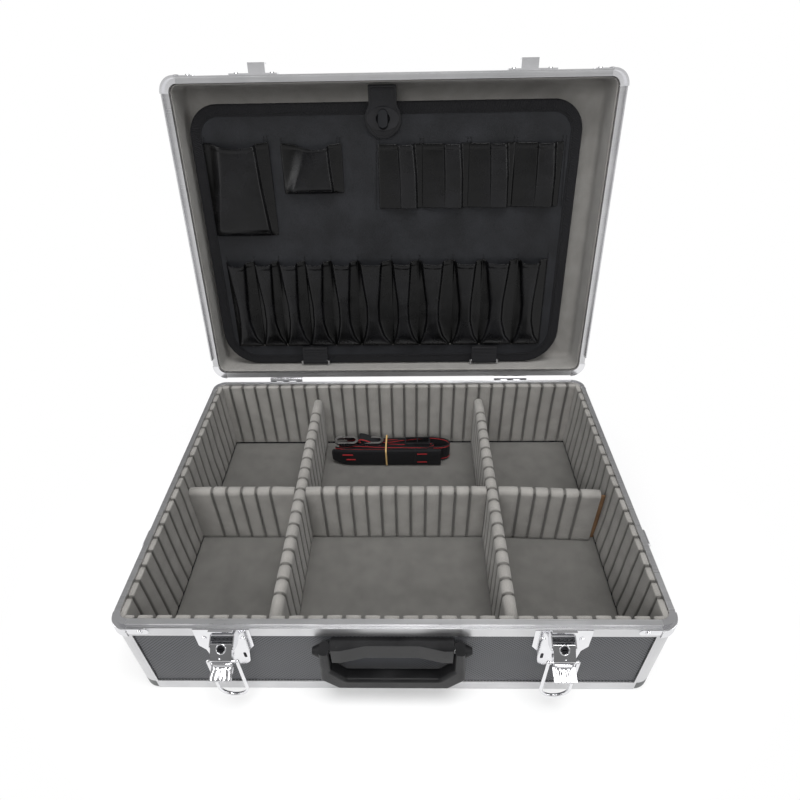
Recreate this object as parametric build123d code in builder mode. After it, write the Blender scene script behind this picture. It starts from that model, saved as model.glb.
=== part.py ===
from build123d import *
import os
from math import atan2, cos, degrees, radians, sin

# Aluminium attache case: padded base with lift-out dividers, lid with a tool pallet,
# two toggle latches, a folding handle, carrying rings and a folded shoulder strap.
# X points right, Y back and Z up, in millimetres. The origin is the centre of the
# underside. The lid is drawn open; the plane "lid" holds it as if it were closed.

os.makedirs("parts", exist_ok=True)

# ---- case body ------------------------------------------------------------------
case_width = 460.0
case_depth = 330.0
base_height = 105.0
lid_height = 48.0
open_angle = 100.0
corner_radius = 15.0      # upright corners of the case
skin = 1.2                # wall of the aluminium profiles
board = 4.0               # covered board of the flat panels
edge_height = 13.0        # profile round the bottom and round the top of the lid
edge_return = 12.0        # its flange under the panel
edge_rounding = 1.0
foot_rounding = 3.0
post_lip = 2.0            # corner post over the panel's edge
rim_flange = 15.0         # outer wall of the rim profile
rim_inner_flange = 17.0
rim_wall = 6.4            # rim profile, outside to inside
tongue_step = 1.6         # tongue of the base rim, set back from the outside
tongue_height = 4.0
seam_gap = 0.5            # between the closed rims
skirt_gap = 0.3           # between the lid's skirt and the base rim
skirt_relief = 25.0       # skirt left out next to the hinges
cap_wall = 1.0            # pressed rim corners, proud of the case
cap_tab_length = 18.0
cap_tab_height = 7.0
cap_tab_root = 4.0        # of it, under the pressed corner
cap_rivet_inset = 26.0    # rivet from the side of the case
rivet_radius = 1.5
rivet_head_radius = 2.4
rivet_head_height = 0.9
running_fit = 0.05        # radial, pin in bore
body_gap = 0.3            # between pieces that move apart

# ---- padding --------------------------------------------------------------------
liner = 5.0               # foam on the base walls
liner_drop = 5.0          # its top, below the rim
floor_pad = 5.8
groove_pitch = 15.5
groove_width = 2.4
groove_depth = 3.0
row_shift = 2.0           # middle row of grooves, behind the centre
lid_liner = 2.0
lid_liner_drop = 4.0

# ---- dividers -------------------------------------------------------------------
divider_thickness = 11.5
divider_top = base_height - 20.0
divider_groove = 2.5
crown_groove = 1.2
core_thickness = 1.8
core_reach = 2.4          # core past the foam, into a groove
long_divider_column = 6.5  # groove pitches from the middle to each long divider
loose_core_reach = 6.0    # bare core of the loose cross divider
loose_skew = 3.0          # degrees

# ---- hinges ---------------------------------------------------------------------
hinge_setback = 3.0       # hinge axis behind the back face
hinge_x = 140.0
hinge_width = 40.0
hinge_knuckles = 5
knuckle_radius = 2.4
hinge_pin_radius = 1.0
leaf = 1.2
leaf_start = 2.3          # leaf plate from the axis
leaf_end = 14.0

# ---- handle ---------------------------------------------------------------------
bracket_width = 101.0
bracket_bottom = base_height - 37.0
bracket_top = base_height - 18.5
bracket_reach = 11.0      # ends, out from the case
bracket_waist = 6.6       # middle, out from the case
bracket_waist_half = 22.0
bracket_shoulder_half = 42.0
handle_pivot_out = 6.5
handle_pivot_z = base_height - 26.0
handle_pin_radius = 2.0
handle_pin_length = 16.0
grip_thickness = 12.0
grip_out = 8.0            # middle of the grip, out from the case
grip_arm = 8.0
grip_bar = 14.8
grip_bottom = base_height - 76.6
grip_base_half = 47.0     # half width of the grip's straight underside
grip_rounding = 3.0
boss_radius = 6.0
boss_tip_radius = 3.0
boss_length = 6.5
boss_root = 0.5           # of it, inside the arm

# ---- latches --------------------------------------------------------------------
latch_x = 137.5
latch_top = base_height - 4.0
latch_jog = base_height - 28.0
latch_bottom = base_height - 58.0
latch_half = 23.0
latch_foot_half = 15.0
latch_slot_x = 13.0
latch_slot_z = base_height - 43.0
latch_slot_length = 8.0
latch_slot_width = 2.5
lever_rounding = 0.7
keyway_length = 3.6
keyway_width = 0.8
latch_plate = 1.2
latch_flange = 3.0
latch_window_bottom = base_height - 22.0
latch_window_top = base_height - 11.0
latch_rivet_x = 15.85
latch_rivet_z = base_height - 16.5
lever_pivot_out = 6.5
lever_pivot_z = base_height - 18.5
lever_pin_radius = 1.2
lever_half = 8.8
lever_open_angle = 47.0
ear = 0.9
ear_gap = 0.3
ear_nose = 3.2
ear_half_height = 7.5
lever_pin_depth = 3.3     # stub pins inside the lever
lever_face = 3.5          # its flat face, out from the pivot
bail_pivot_along = 12.5   # from the lever's pivot, along the lever
bail_pivot_back = 2.0     # and behind it
bail_wire_radius = 1.5
bail_journal_radius = 1.1
bail_half = 12.0
bail_length = 56.7
bail_journal = 4.0        # bail ends inside the lever
lock_radius = 3.0
lock_depth = 2.9
lock_proud = 0.4
lock_along = 1.8          # from the lever's pivot
stud_along = 7.6
stud_radius = 2.2
stud_depth = 0.8
hook_trough = 21.0        # above the closed seam
hook_plate_low = 1.6
hook_plate_high = 31.0
hook_half = 8.6
hook_wing_high = 12.0
hook_rivet_x = 18.0
hook_rivet_high = 8.0
hook_plate_half = 24.0
hook_plate_top_half = 14.0
hook_out = 11.5
hook_lip = 8.0
hook_sheet = 1.6

# ---- carrying rings -------------------------------------------------------------
ring_y = -70.0
ring_z = base_height - 12.0
ring_wire_radius = 1.5
ring_half = 11.0
ring_drop = 17.0
ring_corner = 3.0
clip_half = 8.0           # clip round the ring's bar
clip_wall = 1.4
anchor_half = 14.0
anchor_top = base_height - 8.0
anchor_bottom = base_height - 16.5
anchor_sheet = 1.4
anchor_rounding = 3.0

# ---- tool pallet ----------------------------------------------------------------
pallet_width = case_width - 44.0
pallet_x = -9.5
pallet_low = 9.0          # from the lid's rear edge
pallet_high = case_depth - 25.0
pallet_face = 23.0        # front of the board, into the lid from its rim
pallet_board = 3.0
pallet_top_radius = 32.0
pallet_foot_radius = 42.0
binding_width = 12.0
binding_wall = 1.5
pallet_pivot_up = 13.0
pallet_pivot_in = 18.6
loop_rod_radius = 1.5
loop_bracket = 2.0
tab_half = 15.5
tab_x = (-104.5, 108.5)
tab_high = 32.0
tab_sheet = 1.2
pocket_depth = 9.0
pocket_sheet = 1.2
pocket_rib = 1.5
drawn_width = 416.0       # board size that the pockets below are laid out on
drawn_height = 296.0
lower_seams = (-199.6, -167.8, -138.6, -108, -77, -45, -6, 27, 66, 101.5, 142, 176)
lower_span = (34.0, 141.0)
upper_seams = (-17.0, 29.6, 80.0, 129.3, 180.5)
upper_span = (199.0, 265.0)
large_seams = (-205.0, -134.0)
large_span = (171.0, 269.0)
small_seams = (-122.0, -56.0)
small_span = (216.0, 267.0)

# ---- retaining strap and turn knob ------------------------------------------------
knob_x = -11.0
knob_up = case_depth - 41.0
knob_long = 17.0
knob_wide = 9.5
knob_thickness = 3.4
knob_face = 12.6          # front of the knob, into the lid
knob_post_radius = 2.0
knob_plate_radius = 3.8
knob_base = 1.4
strap_pivot_up = case_depth - 9.7
strap_pivot_in = 16.0
strap_knob_in = 19.2      # middle of the strap where the knob holds it
strap_sheet = 2.2
strap_end_radius = 19.0
strap_neck = 29.0
eyelet_width = 33.5
eyelet_height = 22.4
eyelet_sheet = 1.0
eyelet_slot = 15.0        # across, narrower than the knob is long
eyelet_slot_height = 11.5
knob_gap = 0.5
knob_swing_gap = 1.3      # more room below the knob, for the rising strap

# ---- folded shoulder strap --------------------------------------------------------
bundle_x = -8.0
bundle_y = 126.0
bundle_length = 152.0
bundle_depth = 26.0
bundle_height = 25.0
shoulder_pad_length = 140.0
shoulder_pad_sheet = 5.0
snap_wire_radius = 1.6
snap_length = 30.0
snap_half = 5.5
snap_x = (-66.0, -34.0)
slider_x = 24.0
slider_wire = 1.8
slider_length = 32.0
slider_depth = 13.0
band_x = -15.0
band_width = 2.0
band_wall = 0.8

# ---- derived ----------------------------------------------------------------------
half_width = case_width / 2
half_depth = case_depth / 2
panel_inside = skin + board
floor_top = panel_inside + floor_pad
liner_inside = rim_wall + liner
inner_half_width = half_width - liner_inside
inner_half_depth = half_depth - liner_inside
groove_columns = 2 * int(inner_half_width / groove_pitch)
groove_rows = 2 * int((inner_half_depth - row_shift) / groove_pitch) + 1
hinge_y = half_depth + hinge_setback
hinge_z = base_height + seam_gap / 2
opened = radians(open_angle)
lid_x = Vector(1, 0, 0)
lid_y = Vector(0, cos(opened), -sin(opened))
lid_z = Vector(0, sin(opened), cos(opened))
hinge_axis = Vector(0, hinge_y, hinge_z)
lid = Plane(origin=hinge_axis - lid_y * hinge_y, x_dir=lid_x, z_dir=lid_z)
seam_half = seam_gap / 2
lid_shell = Plane(origin=lid.origin + lid_z * (seam_half + lid_height), x_dir=lid_x, z_dir=-lid_z)
front = Plane.XZ.offset(half_depth)


def block(x, y, z, mode=Mode.ADD):
    """Add or cut a box, given by its two limits along each axis."""
    with Locations(((x[0] + x[1]) / 2, (y[0] + y[1]) / 2, (z[0] + z[1]) / 2)):
        Box(x[1] - x[0], y[1] - y[0], z[1] - z[0], mode=mode)


def band(plane, low, high, outer, inner, where, reach=0.0, back_relief=0.0):
    """Extrude a ring that follows the case's outline, inset from outer to inner.

    where keeps its "sides", its "corners" or "all" of it; reach lengthens the corners.
    """
    corner = corner_radius + reach
    over = 4 * cap_wall
    with BuildSketch(plane.offset(low)) as ring:
        RectangleRounded(case_width - 2 * outer, case_depth - 2 * outer, corner_radius - outer)
        RectangleRounded(
            case_width - 2 * inner, case_depth - 2 * inner, corner_radius - inner, mode=Mode.SUBTRACT
        )
        if where == "sides":
            size = corner + over
            with GridLocations(case_width + 2 * over - size, case_depth + 2 * over - size, 2, 2):
                Rectangle(size, size, mode=Mode.SUBTRACT)
        if where == "corners":
            Rectangle(case_width - 2 * corner, case_depth + 2 * over, mode=Mode.SUBTRACT)
            Rectangle(case_width + 2 * over, case_depth - 2 * corner, mode=Mode.SUBTRACT)
        if back_relief:
            with Locations((0, -half_depth)):
                Rectangle(case_width + 2 * over, 2 * back_relief, mode=Mode.SUBTRACT)
    extrude(ring.sketch, amount=high - low)


def face_of(plane, side):
    """The upright plane on a shell's front (-1) or back (+1) face, looking outwards."""
    return Plane(
        origin=plane.origin + plane.y_dir * side * half_depth,
        x_dir=plane.x_dir * -side,
        z_dir=plane.y_dir * side,
    )


def top_panel(plane):
    """The board that closes a shell, notched for the plastic corners."""
    with BuildPart() as panel:
        with BuildSketch(plane.offset(skin)):
            Rectangle(case_width - 2 * panel_inside, case_depth - 2 * panel_inside)
            with GridLocations(case_width - corner_radius, case_depth - corner_radius, 2, 2):
                Rectangle(corner_radius, corner_radius, mode=Mode.SUBTRACT)
        extrude(amount=board)
    return panel.part


def wall_panel(plane, height, side):
    """The board of a shell's front (-1) or back (+1) wall."""
    with BuildPart() as panel:
        with BuildSketch(face_of(plane, side).offset(-skin)):
            with Locations((0, (panel_inside + height - panel_inside) / 2)):
                Rectangle(case_width - 2 * corner_radius, height - 2 * panel_inside)
        extrude(amount=-board)
    return panel.part


def side_panels(plane, height):
    """The two boards of a shell's side walls."""
    with BuildPart(plane) as panels:
        with Locations((0, 0, height / 2)):
            with GridLocations(case_width - 2 * skin - board, 0, 2, 1):
                Box(board, case_depth - 2 * corner_radius, height - 2 * panel_inside)
    return panels.part


def edge_frame(plane):
    """The straight profiles round a shell's outer edge."""
    with BuildPart() as frame:
        band(plane, 0, skin, 0, edge_return, "sides")
        band(plane, skin, edge_height, 0, skin, "sides")
        outer = frame.faces().filter_by(lambda f: abs(plane.to_local_coords(f.center()).Z) < 0.01)
        rims = outer.edges().filter_by(lambda e: is_outside(plane, e))
        fillet(rims, edge_rounding)
    return frame.part


def is_outside(plane, edge):
    """True for an edge that lies along the case's outline."""
    spot = plane.to_local_coords(edge.center())
    return half_width - abs(spot.X) < skin / 2 or half_depth - abs(spot.Y) < skin / 2


def plastic_corners(plane):
    """Four moulded corners, below the corner posts."""
    with BuildPart() as corners:
        with BuildSketch(plane):
            RectangleRounded(case_width, case_depth, corner_radius)
            Rectangle(case_width - 2 * corner_radius, case_depth, mode=Mode.SUBTRACT)
            Rectangle(case_width, case_depth - 2 * corner_radius, mode=Mode.SUBTRACT)
        extrude(amount=panel_inside)
        band(plane, panel_inside, edge_height, 0, panel_inside, "corners")
        outer = corners.faces().filter_by(lambda f: abs(plane.to_local_coords(f.center()).Z) < 0.01)
        fillet(outer.edges().filter_by(GeomType.CIRCLE), foot_rounding)
    return corners.part


def corner_posts(plane, height):
    """Four rounded corner profiles, with lips over the panels' edges."""
    with BuildPart() as posts:
        band(plane, edge_height, height - panel_inside, skin, panel_inside, "corners")
        band(plane, edge_height, height - rim_flange, 0, skin, "corners", reach=post_lip)
    return posts.part


def rim_section(plane, height, where, tongue):
    """The rim profile: two flanges over the panel's edge and a web that joins them."""
    web_top = height - tongue_height if tongue else height
    band(plane, height - rim_flange, height - panel_inside, 0, skin, where)
    band(plane, height - rim_inner_flange, height - panel_inside, panel_inside, rim_wall, where)
    band(plane, height - panel_inside, web_top, 0, rim_wall, where)
    if tongue:
        band(plane, web_top, height, tongue_step, rim_wall, where)


def skirt(plane, height, where, outer=0.0):
    """The lip of the lid's rim that hangs over the base's tongue."""
    length = seam_gap + tongue_height - skirt_gap
    band(plane, height, height + length, outer, skin, where, back_relief=skirt_relief)


def cap_tabs(plane, height):
    """Rounded tabs that carry the rim corners' rivets."""
    middle = height - rim_flange / 2
    for side in (-1, 1):
        with BuildSketch(face_of(plane, side)) as tabs:
            with GridLocations(case_width - 2 * corner_radius - cap_tab_length + cap_tab_root, 0, 2, 1):
                with Locations((0, middle)):
                    RectangleRounded(cap_tab_length + cap_tab_root, cap_tab_height, cap_tab_height / 2 - 0.1)
            with GridLocations(case_width - 2 * cap_rivet_inset, 0, 2, 1):
                with Locations((0, middle)):
                    Circle(rivet_radius, mode=Mode.SUBTRACT)
        extrude(tabs.sketch, amount=cap_wall)


def rivet(plane, grip_length):
    """One domed rivet whose head stands on the plane and whose shank goes below it."""
    with BuildSketch(plane) as head:
        Circle(rivet_head_radius)
    extrude(head.sketch, amount=rivet_head_height, taper=25)
    with BuildSketch(plane) as shank:
        Circle(rivet_radius)
    extrude(shank.sketch, amount=-grip_length)


# ---- base shell -------------------------------------------------------------------
base_plane = Plane.XY

# The bottom board's middle is flush with the frame, so that the case stands on both.
with BuildPart() as base_bottom_panel:
    add(top_panel(base_plane))
    with BuildSketch(base_plane):
        Rectangle(case_width - 2 * corner_radius, case_depth - 2 * corner_radius)
    extrude(amount=skin)
base_bottom_panel.part.label = "base_bottom_panel"
export_step(base_bottom_panel.part, "parts/base_bottom_panel.step")

with BuildPart() as base_long_panels:
    add(wall_panel(base_plane, base_height, -1))
    add(wall_panel(base_plane, base_height, 1))
base_long_panels.part.label = "base_long_panels"
export_step(base_long_panels.part, "parts/base_long_panels.step")

with BuildPart() as base_side_panels:
    add(side_panels(base_plane, base_height))
base_side_panels.part.label = "base_side_panels"
export_step(base_side_panels.part, "parts/base_side_panels.step")

with BuildPart() as base_edge_frame:
    add(edge_frame(base_plane))
base_edge_frame.part.label = "base_edge_frame"
export_step(base_edge_frame.part, "parts/base_edge_frame.step")

with BuildPart() as base_corner_feet:
    add(plastic_corners(base_plane))
base_corner_feet.part.label = "base_corner_feet"
export_step(base_corner_feet.part, "parts/base_corner_feet.step")

with BuildPart() as base_corner_posts:
    add(corner_posts(base_plane, base_height))
base_corner_posts.part.label = "base_corner_posts"
export_step(base_corner_posts.part, "parts/base_corner_posts.step")

with BuildPart() as base_rim:
    rim_section(base_plane, base_height, "sides", tongue=True)
base_rim.part.label = "base_rim"
export_step(base_rim.part, "parts/base_rim.step")

with BuildPart() as base_rim_caps:
    rim_section(base_plane, base_height, "corners", tongue=True)
    band(base_plane, base_height - rim_flange, base_height - tongue_height, -cap_wall, 0, "corners")
    cap_tabs(base_plane, base_height)
base_rim_caps.part.label = "base_rim_caps"
export_step(base_rim_caps.part, "parts/base_rim_caps.step")

# ---- base padding -----------------------------------------------------------------
liner_top = base_height - liner_drop
groove_reach = 2 * groove_depth


def liner_section(height, outer):
    """The wall foam's plan with its grooves, as a sketch at one height."""
    with BuildSketch(Plane.XY.offset(height)) as section:
        RectangleRounded(case_width - 2 * outer, case_depth - 2 * outer, corner_radius - outer)
        RectangleRounded(
            case_width - 2 * liner_inside,
            case_depth - 2 * liner_inside,
            corner_radius - liner_inside,
            mode=Mode.SUBTRACT,
        )
        with GridLocations(groove_pitch, case_depth - 2 * liner_inside, groove_columns, 2):
            Rectangle(groove_width, groove_reach, mode=Mode.SUBTRACT)
        with Locations((0, row_shift)):
            with GridLocations(case_width - 2 * liner_inside, groove_pitch, 2, groove_rows):
                Rectangle(groove_reach, groove_width, mode=Mode.SUBTRACT)
    return section.sketch


with BuildPart() as base_wall_liner:
    flange_low = base_height - rim_inner_flange
    extrude(liner_section(panel_inside, panel_inside), amount=flange_low - panel_inside)
    extrude(liner_section(flange_low, rim_wall), amount=liner_top - flange_low)
base_wall_liner.part.label = "base_wall_liner"
export_step(base_wall_liner.part, "parts/base_wall_liner.step")

with BuildPart() as base_floor_pad:
    with BuildSketch(Plane.XY.offset(panel_inside)):
        RectangleRounded(
            case_width - 2 * liner_inside, case_depth - 2 * liner_inside, corner_radius - liner_inside
        )
    extrude(amount=floor_pad)
base_floor_pad.part.label = "base_floor_pad"
export_step(base_floor_pad.part, "parts/base_floor_pad.step")

# ---- dividers ---------------------------------------------------------------------
divider_low = floor_top + body_gap
divider_height = divider_top - divider_low
long_x = long_divider_column * groove_pitch
long_face = long_x - divider_thickness / 2


def divider(plane, length, grooves, groove_shift, reach_low, reach_high, foam_cut=0.0):
    """A foam divider on a stiff core, drawn along the plane's X with its crown up.

    The core stands out of the foam by reach_low and reach_high at its two ends.
    """
    foam_length = length - foam_cut
    with BuildPart(plane) as piece:
        crown = divider_thickness / 2
        with BuildSketch(Plane(plane.origin, x_dir=plane.y_dir, z_dir=plane.x_dir).offset(-length / 2)):
            with Locations((0, (divider_height - crown) / 2)):
                Rectangle(divider_thickness, divider_height - crown)
            with Locations((0, divider_height - crown)):
                Circle(crown)
        extrude(amount=foam_length)
        with Locations((groove_shift, 0, divider_height / 2)):
            with GridLocations(groove_pitch, divider_thickness, grooves, 2):
                Box(groove_width, 2 * divider_groove, divider_height, mode=Mode.SUBTRACT)
        with Locations((groove_shift, 0, divider_height)):
            with GridLocations(groove_pitch, 0, grooves, 1):
                Box(groove_width, divider_thickness, 2 * crown_groove, mode=Mode.SUBTRACT)
        core_high = divider_height - crown
        block(
            (-length / 2 - reach_low, length / 2 + reach_high),
            (-core_thickness / 2, core_thickness / 2),
            (0, core_high),
        )
    return piece.part


def groove_count(length):
    """Grooves at the groove pitch that fit a divider, clear of its ends."""
    return int((length - groove_pitch) / groove_pitch / 2) * 2 + 1


long_length = 2 * (inner_half_depth - body_gap)
long_rows = groove_rows - 2
for side, name in ((-1, "left"), (1, "right")):
    along = Plane(origin=(side * long_x, 0, divider_low), x_dir=(0, 1, 0), z_dir=(0, 0, 1))
    with BuildPart() as divider_long:
        add(divider(along, long_length, long_rows, row_shift, core_reach, core_reach))
    divider_long.part.label = f"divider_long_{name}"
    export_step(divider_long.part, f"parts/divider_long_{name}.step")

bay_span = inner_half_width - long_x - divider_thickness / 2 - 2 * body_gap
bay_middle = (inner_half_width + long_x + divider_thickness / 2) / 2
bay_grooves = groove_count(bay_span)
middle_span = 2 * (long_face - body_gap)
middle_grooves = groove_count(middle_span)

bay = Plane(origin=(-bay_middle, row_shift, divider_low))
with BuildPart() as divider_cross_left:
    add(divider(bay, bay_span, bay_grooves, 0, core_reach, core_reach - body_gap))
divider_cross_left.part.label = "divider_cross_left"
export_step(divider_cross_left.part, "parts/divider_cross_left.step")

centre = Plane(origin=(0, row_shift, divider_low))
with BuildPart() as divider_cross_middle:
    add(divider(centre, middle_span, middle_grooves, 0, core_reach - body_gap, core_reach - body_gap))
divider_cross_middle.part.label = "divider_cross_middle"
export_step(divider_cross_middle.part, "parts/divider_cross_middle.step")

loose_turn = radians(loose_skew)
loose_span = bay_span - divider_thickness * sin(loose_turn) - body_gap
loose_start = long_x + divider_thickness / 2 + 2 * body_gap + divider_thickness / 2 * sin(loose_turn)
loose = Plane(
    origin=(
        loose_start + loose_span / 2 * cos(loose_turn),
        row_shift - loose_span / 2 * sin(loose_turn),
        divider_low,
    ),
    x_dir=(cos(loose_turn), -sin(loose_turn), 0),
    z_dir=(0, 0, 1),
)
with BuildPart() as divider_cross_right:
    add(divider(loose, loose_span, bay_grooves, 0, 0, 0, foam_cut=loose_core_reach))
divider_cross_right.part.label = "divider_cross_right"
export_step(divider_cross_right.part, "parts/divider_cross_right.step")

# ---- hinges -----------------------------------------------------------------------
knuckle_length = (hinge_width - (hinge_knuckles - 1) * body_gap) / hinge_knuckles
knuckle_step = knuckle_length + body_gap
hinge_rivet_pitch = 13.0


def knuckle_xs(first):
    """Middles of every second knuckle of both hinges, counted from first."""
    start = -hinge_width / 2 + knuckle_length / 2
    places = [start + n * knuckle_step for n in range(first, hinge_knuckles, 2)]
    return [side * hinge_x + place for side in (-1, 1) for place in places]


def hinge_leaves(plane, first, sense, fit):
    """Hinge leaves on the back face of a shell.

    sense is the side of the axis, below (-1) or above (+1), that the leaves lie on.
    """
    with BuildPart(plane) as leaves:
        for side in (-1, 1):
            block(
                (side * hinge_x - hinge_width / 2, side * hinge_x + hinge_width / 2),
                (half_depth, half_depth + leaf),
                sorted((sense * leaf_start, sense * leaf_end)),
            )
        for x in knuckle_xs(first):
            block(
                (x - knuckle_length / 2, x + knuckle_length / 2),
                (half_depth, hinge_y),
                sorted((0, sense * knuckle_radius)),
            )
            with Locations(Location((x, hinge_y, 0), (0, 90, 0))):
                Cylinder(knuckle_radius, knuckle_length)
        for side in (-1, 1):
            with Locations(Location((side * hinge_x, hinge_y, 0), (0, 90, 0))):
                Cylinder(hinge_pin_radius + fit, hinge_width, mode=Mode.SUBTRACT)
            middle = sense * (leaf_start + leaf_end + knuckle_radius) / 2
            with Locations(Location((side * hinge_x, half_depth, middle), (90, 0, 0))):
                with GridLocations(hinge_rivet_pitch, 0, 3, 1):
                    Cylinder(rivet_radius, 4 * leaf, mode=Mode.SUBTRACT)
    return leaves.part


base_hinge_plane = Plane(origin=(0, 0, hinge_z))
with BuildPart() as hinge_base_leaves:
    add(hinge_leaves(base_hinge_plane, 0, -1, 0))
hinge_base_leaves.part.label = "hinge_base_leaves"
export_step(hinge_base_leaves.part, "parts/hinge_base_leaves.step")

with BuildPart() as hinge_pins:
    for side in (-1, 1):
        with Locations(Location((side * hinge_x, hinge_y, hinge_z), (0, 90, 0))):
            Cylinder(hinge_pin_radius, hinge_width)
hinge_pins.part.label = "hinge_pins"
export_step(hinge_pins.part, "parts/hinge_pins.step")

with BuildPart() as hinge_lid_leaves:
    add(hinge_leaves(lid, 1, 1, running_fit))
hinge_lid_leaves.part.label = "hinge_lid_leaves"
export_step(hinge_lid_leaves.part, "parts/hinge_lid_leaves.step")

# ---- handle -----------------------------------------------------------------------
pin_x = bracket_width / 2
arm_start = pin_x + 2 * body_gap
arm_end = arm_start + grip_arm
pivot_y = -half_depth - handle_pivot_out


def sideways(x, y, z):
    """A plane across the case at x, whose normal is +X and whose Y is up."""
    return Plane(origin=(x, y, z), x_dir=(0, 1, 0), z_dir=(1, 0, 0))


with BuildPart() as handle_bracket:
    with BuildSketch(Plane.XY.offset(bracket_bottom)):
        with BuildLine():
            Polyline(
                (-pin_x, -half_depth + skin),
                (-pin_x, -half_depth - bracket_reach),
                (-bracket_shoulder_half, -half_depth - bracket_reach),
                (-bracket_waist_half, -half_depth - bracket_waist),
                (bracket_waist_half, -half_depth - bracket_waist),
                (bracket_shoulder_half, -half_depth - bracket_reach),
                (pin_x, -half_depth - bracket_reach),
                (pin_x, -half_depth + skin),
                close=True,
            )
        make_face()
    extrude(amount=bracket_top - bracket_bottom)
    fronts = handle_bracket.faces().filter_by(lambda f: f.center().Y < -half_depth - bracket_waist / 2)
    fillet(fronts.edges().filter_by(Axis.Z), grip_rounding / 2)
    for side in (-1, 1):
        with BuildSketch(sideways(side * pin_x, pivot_y, handle_pivot_z)) as bore:
            Circle(handle_pin_radius)
        depth = handle_pin_length / 2
        extrude(bore.sketch, amount=-side * depth, mode=Mode.SUBTRACT)
handle_bracket.part.label = "handle_bracket"
export_step(handle_bracket.part, "parts/handle_bracket.step")

with BuildPart() as handle_pins:
    for side in (-1, 1):
        with BuildSketch(sideways(side * (pin_x - handle_pin_length / 2), pivot_y, handle_pivot_z)) as pin:
            Circle(handle_pin_radius)
        extrude(pin.sketch, amount=side * handle_pin_length)
handle_pins.part.label = "handle_pins"
export_step(handle_pins.part, "parts/handle_pins.step")

with BuildPart() as handle_grip:
    with BuildSketch(front.offset(grip_out - grip_thickness / 2)) as outline:
        knee = grip_bottom + grip_bar
        with BuildLine():
            left = Polyline(
                (0, grip_bottom),
                (grip_base_half, grip_bottom),
                (arm_end + 2, knee),
                (arm_end, handle_pivot_z),
                (arm_start, handle_pivot_z),
                (arm_start, knee + grip_bar),
                (grip_base_half - grip_arm, knee),
                (0, knee),
            )
            mirror(left, about=Plane.YZ)
        make_face()
        with Locations(((arm_start + arm_end) / 2, handle_pivot_z), (-(arm_start + arm_end) / 2, handle_pivot_z)):
            Rectangle(grip_arm, 2 * boss_radius)
        fillet(
            outline.vertices().filter_by(lambda v: v.Y < handle_pivot_z - boss_radius - 1 and abs(v.X) > 1),
            grip_arm / 2,
        )
    extrude(amount=grip_thickness)
    lengthwise = handle_grip.edges().filter_by(
        lambda e: abs(e.tangent_at(0.5).Y) < 0.01 and e.center().Z < handle_pivot_z - boss_radius - 1
    )
    fillet(lengthwise, grip_rounding)
    for side in (-1, 1):
        boss_middle = (side * (arm_end - boss_root + boss_length / 2), pivot_y, handle_pivot_z)
        with Locations(Location(boss_middle, (0, side * 90, 0))):
            Cone(boss_radius, boss_tip_radius, boss_length)
        with BuildSketch(sideways(side * arm_start, pivot_y, handle_pivot_z)) as bore:
            Circle(handle_pin_radius + running_fit)
        extrude(bore.sketch, amount=side * (handle_pin_length / 2 + body_gap), mode=Mode.SUBTRACT)
handle_grip.part.label = "handle_grip"
export_step(handle_grip.part, "parts/handle_grip.step")

# ---- latches ----------------------------------------------------------------------
opening = radians(lever_open_angle)
lever_out = Vector(0, -cos(opening), sin(opening))
latch_sides = ((-1, "left"), (1, "right"))


def front_seat(side, out=0.0):
    """The front face at a latch, offset outwards: X right, Y up from the floor."""
    return Plane(origin=(side * latch_x, -half_depth - out, 0), x_dir=(1, 0, 0), z_dir=(0, -1, 0))


def side_plane(x):
    """A plane across the case at x: X out of the front, Y up, normal -X."""
    return Plane(origin=(x, -half_depth, 0), x_dir=(0, -1, 0), z_dir=(-1, 0, 0))


def lever_plane(x):
    """The raised lever's own plane, on its pivot: X out of its flat face, Y up along it."""
    pivot = Vector(x, -half_depth - lever_pivot_out, lever_pivot_z)
    return Plane(origin=pivot, x_dir=lever_out, z_dir=(-1, 0, 0))


def lever_face_plane(side, along):
    """A point on the lever's flat face, with the normal out of it."""
    spot = lever_plane(side * latch_x).from_local_coords((lever_face, -along, 0))
    return Plane(origin=spot, x_dir=(1, 0, 0), z_dir=lever_out)


def bail_axis(side):
    """The bail's pivot, in the middle of its latch."""
    return lever_plane(side * latch_x).from_local_coords((-bail_pivot_back, -bail_pivot_along, 0))


def cut_through(plane, radius, start, end):
    """Cut a round bore along the plane's normal, between two distances from it."""
    with BuildSketch(plane.offset(start)) as bore:
        Circle(radius)
    extrude(bore.sketch, amount=end - start, mode=Mode.SUBTRACT)


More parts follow.
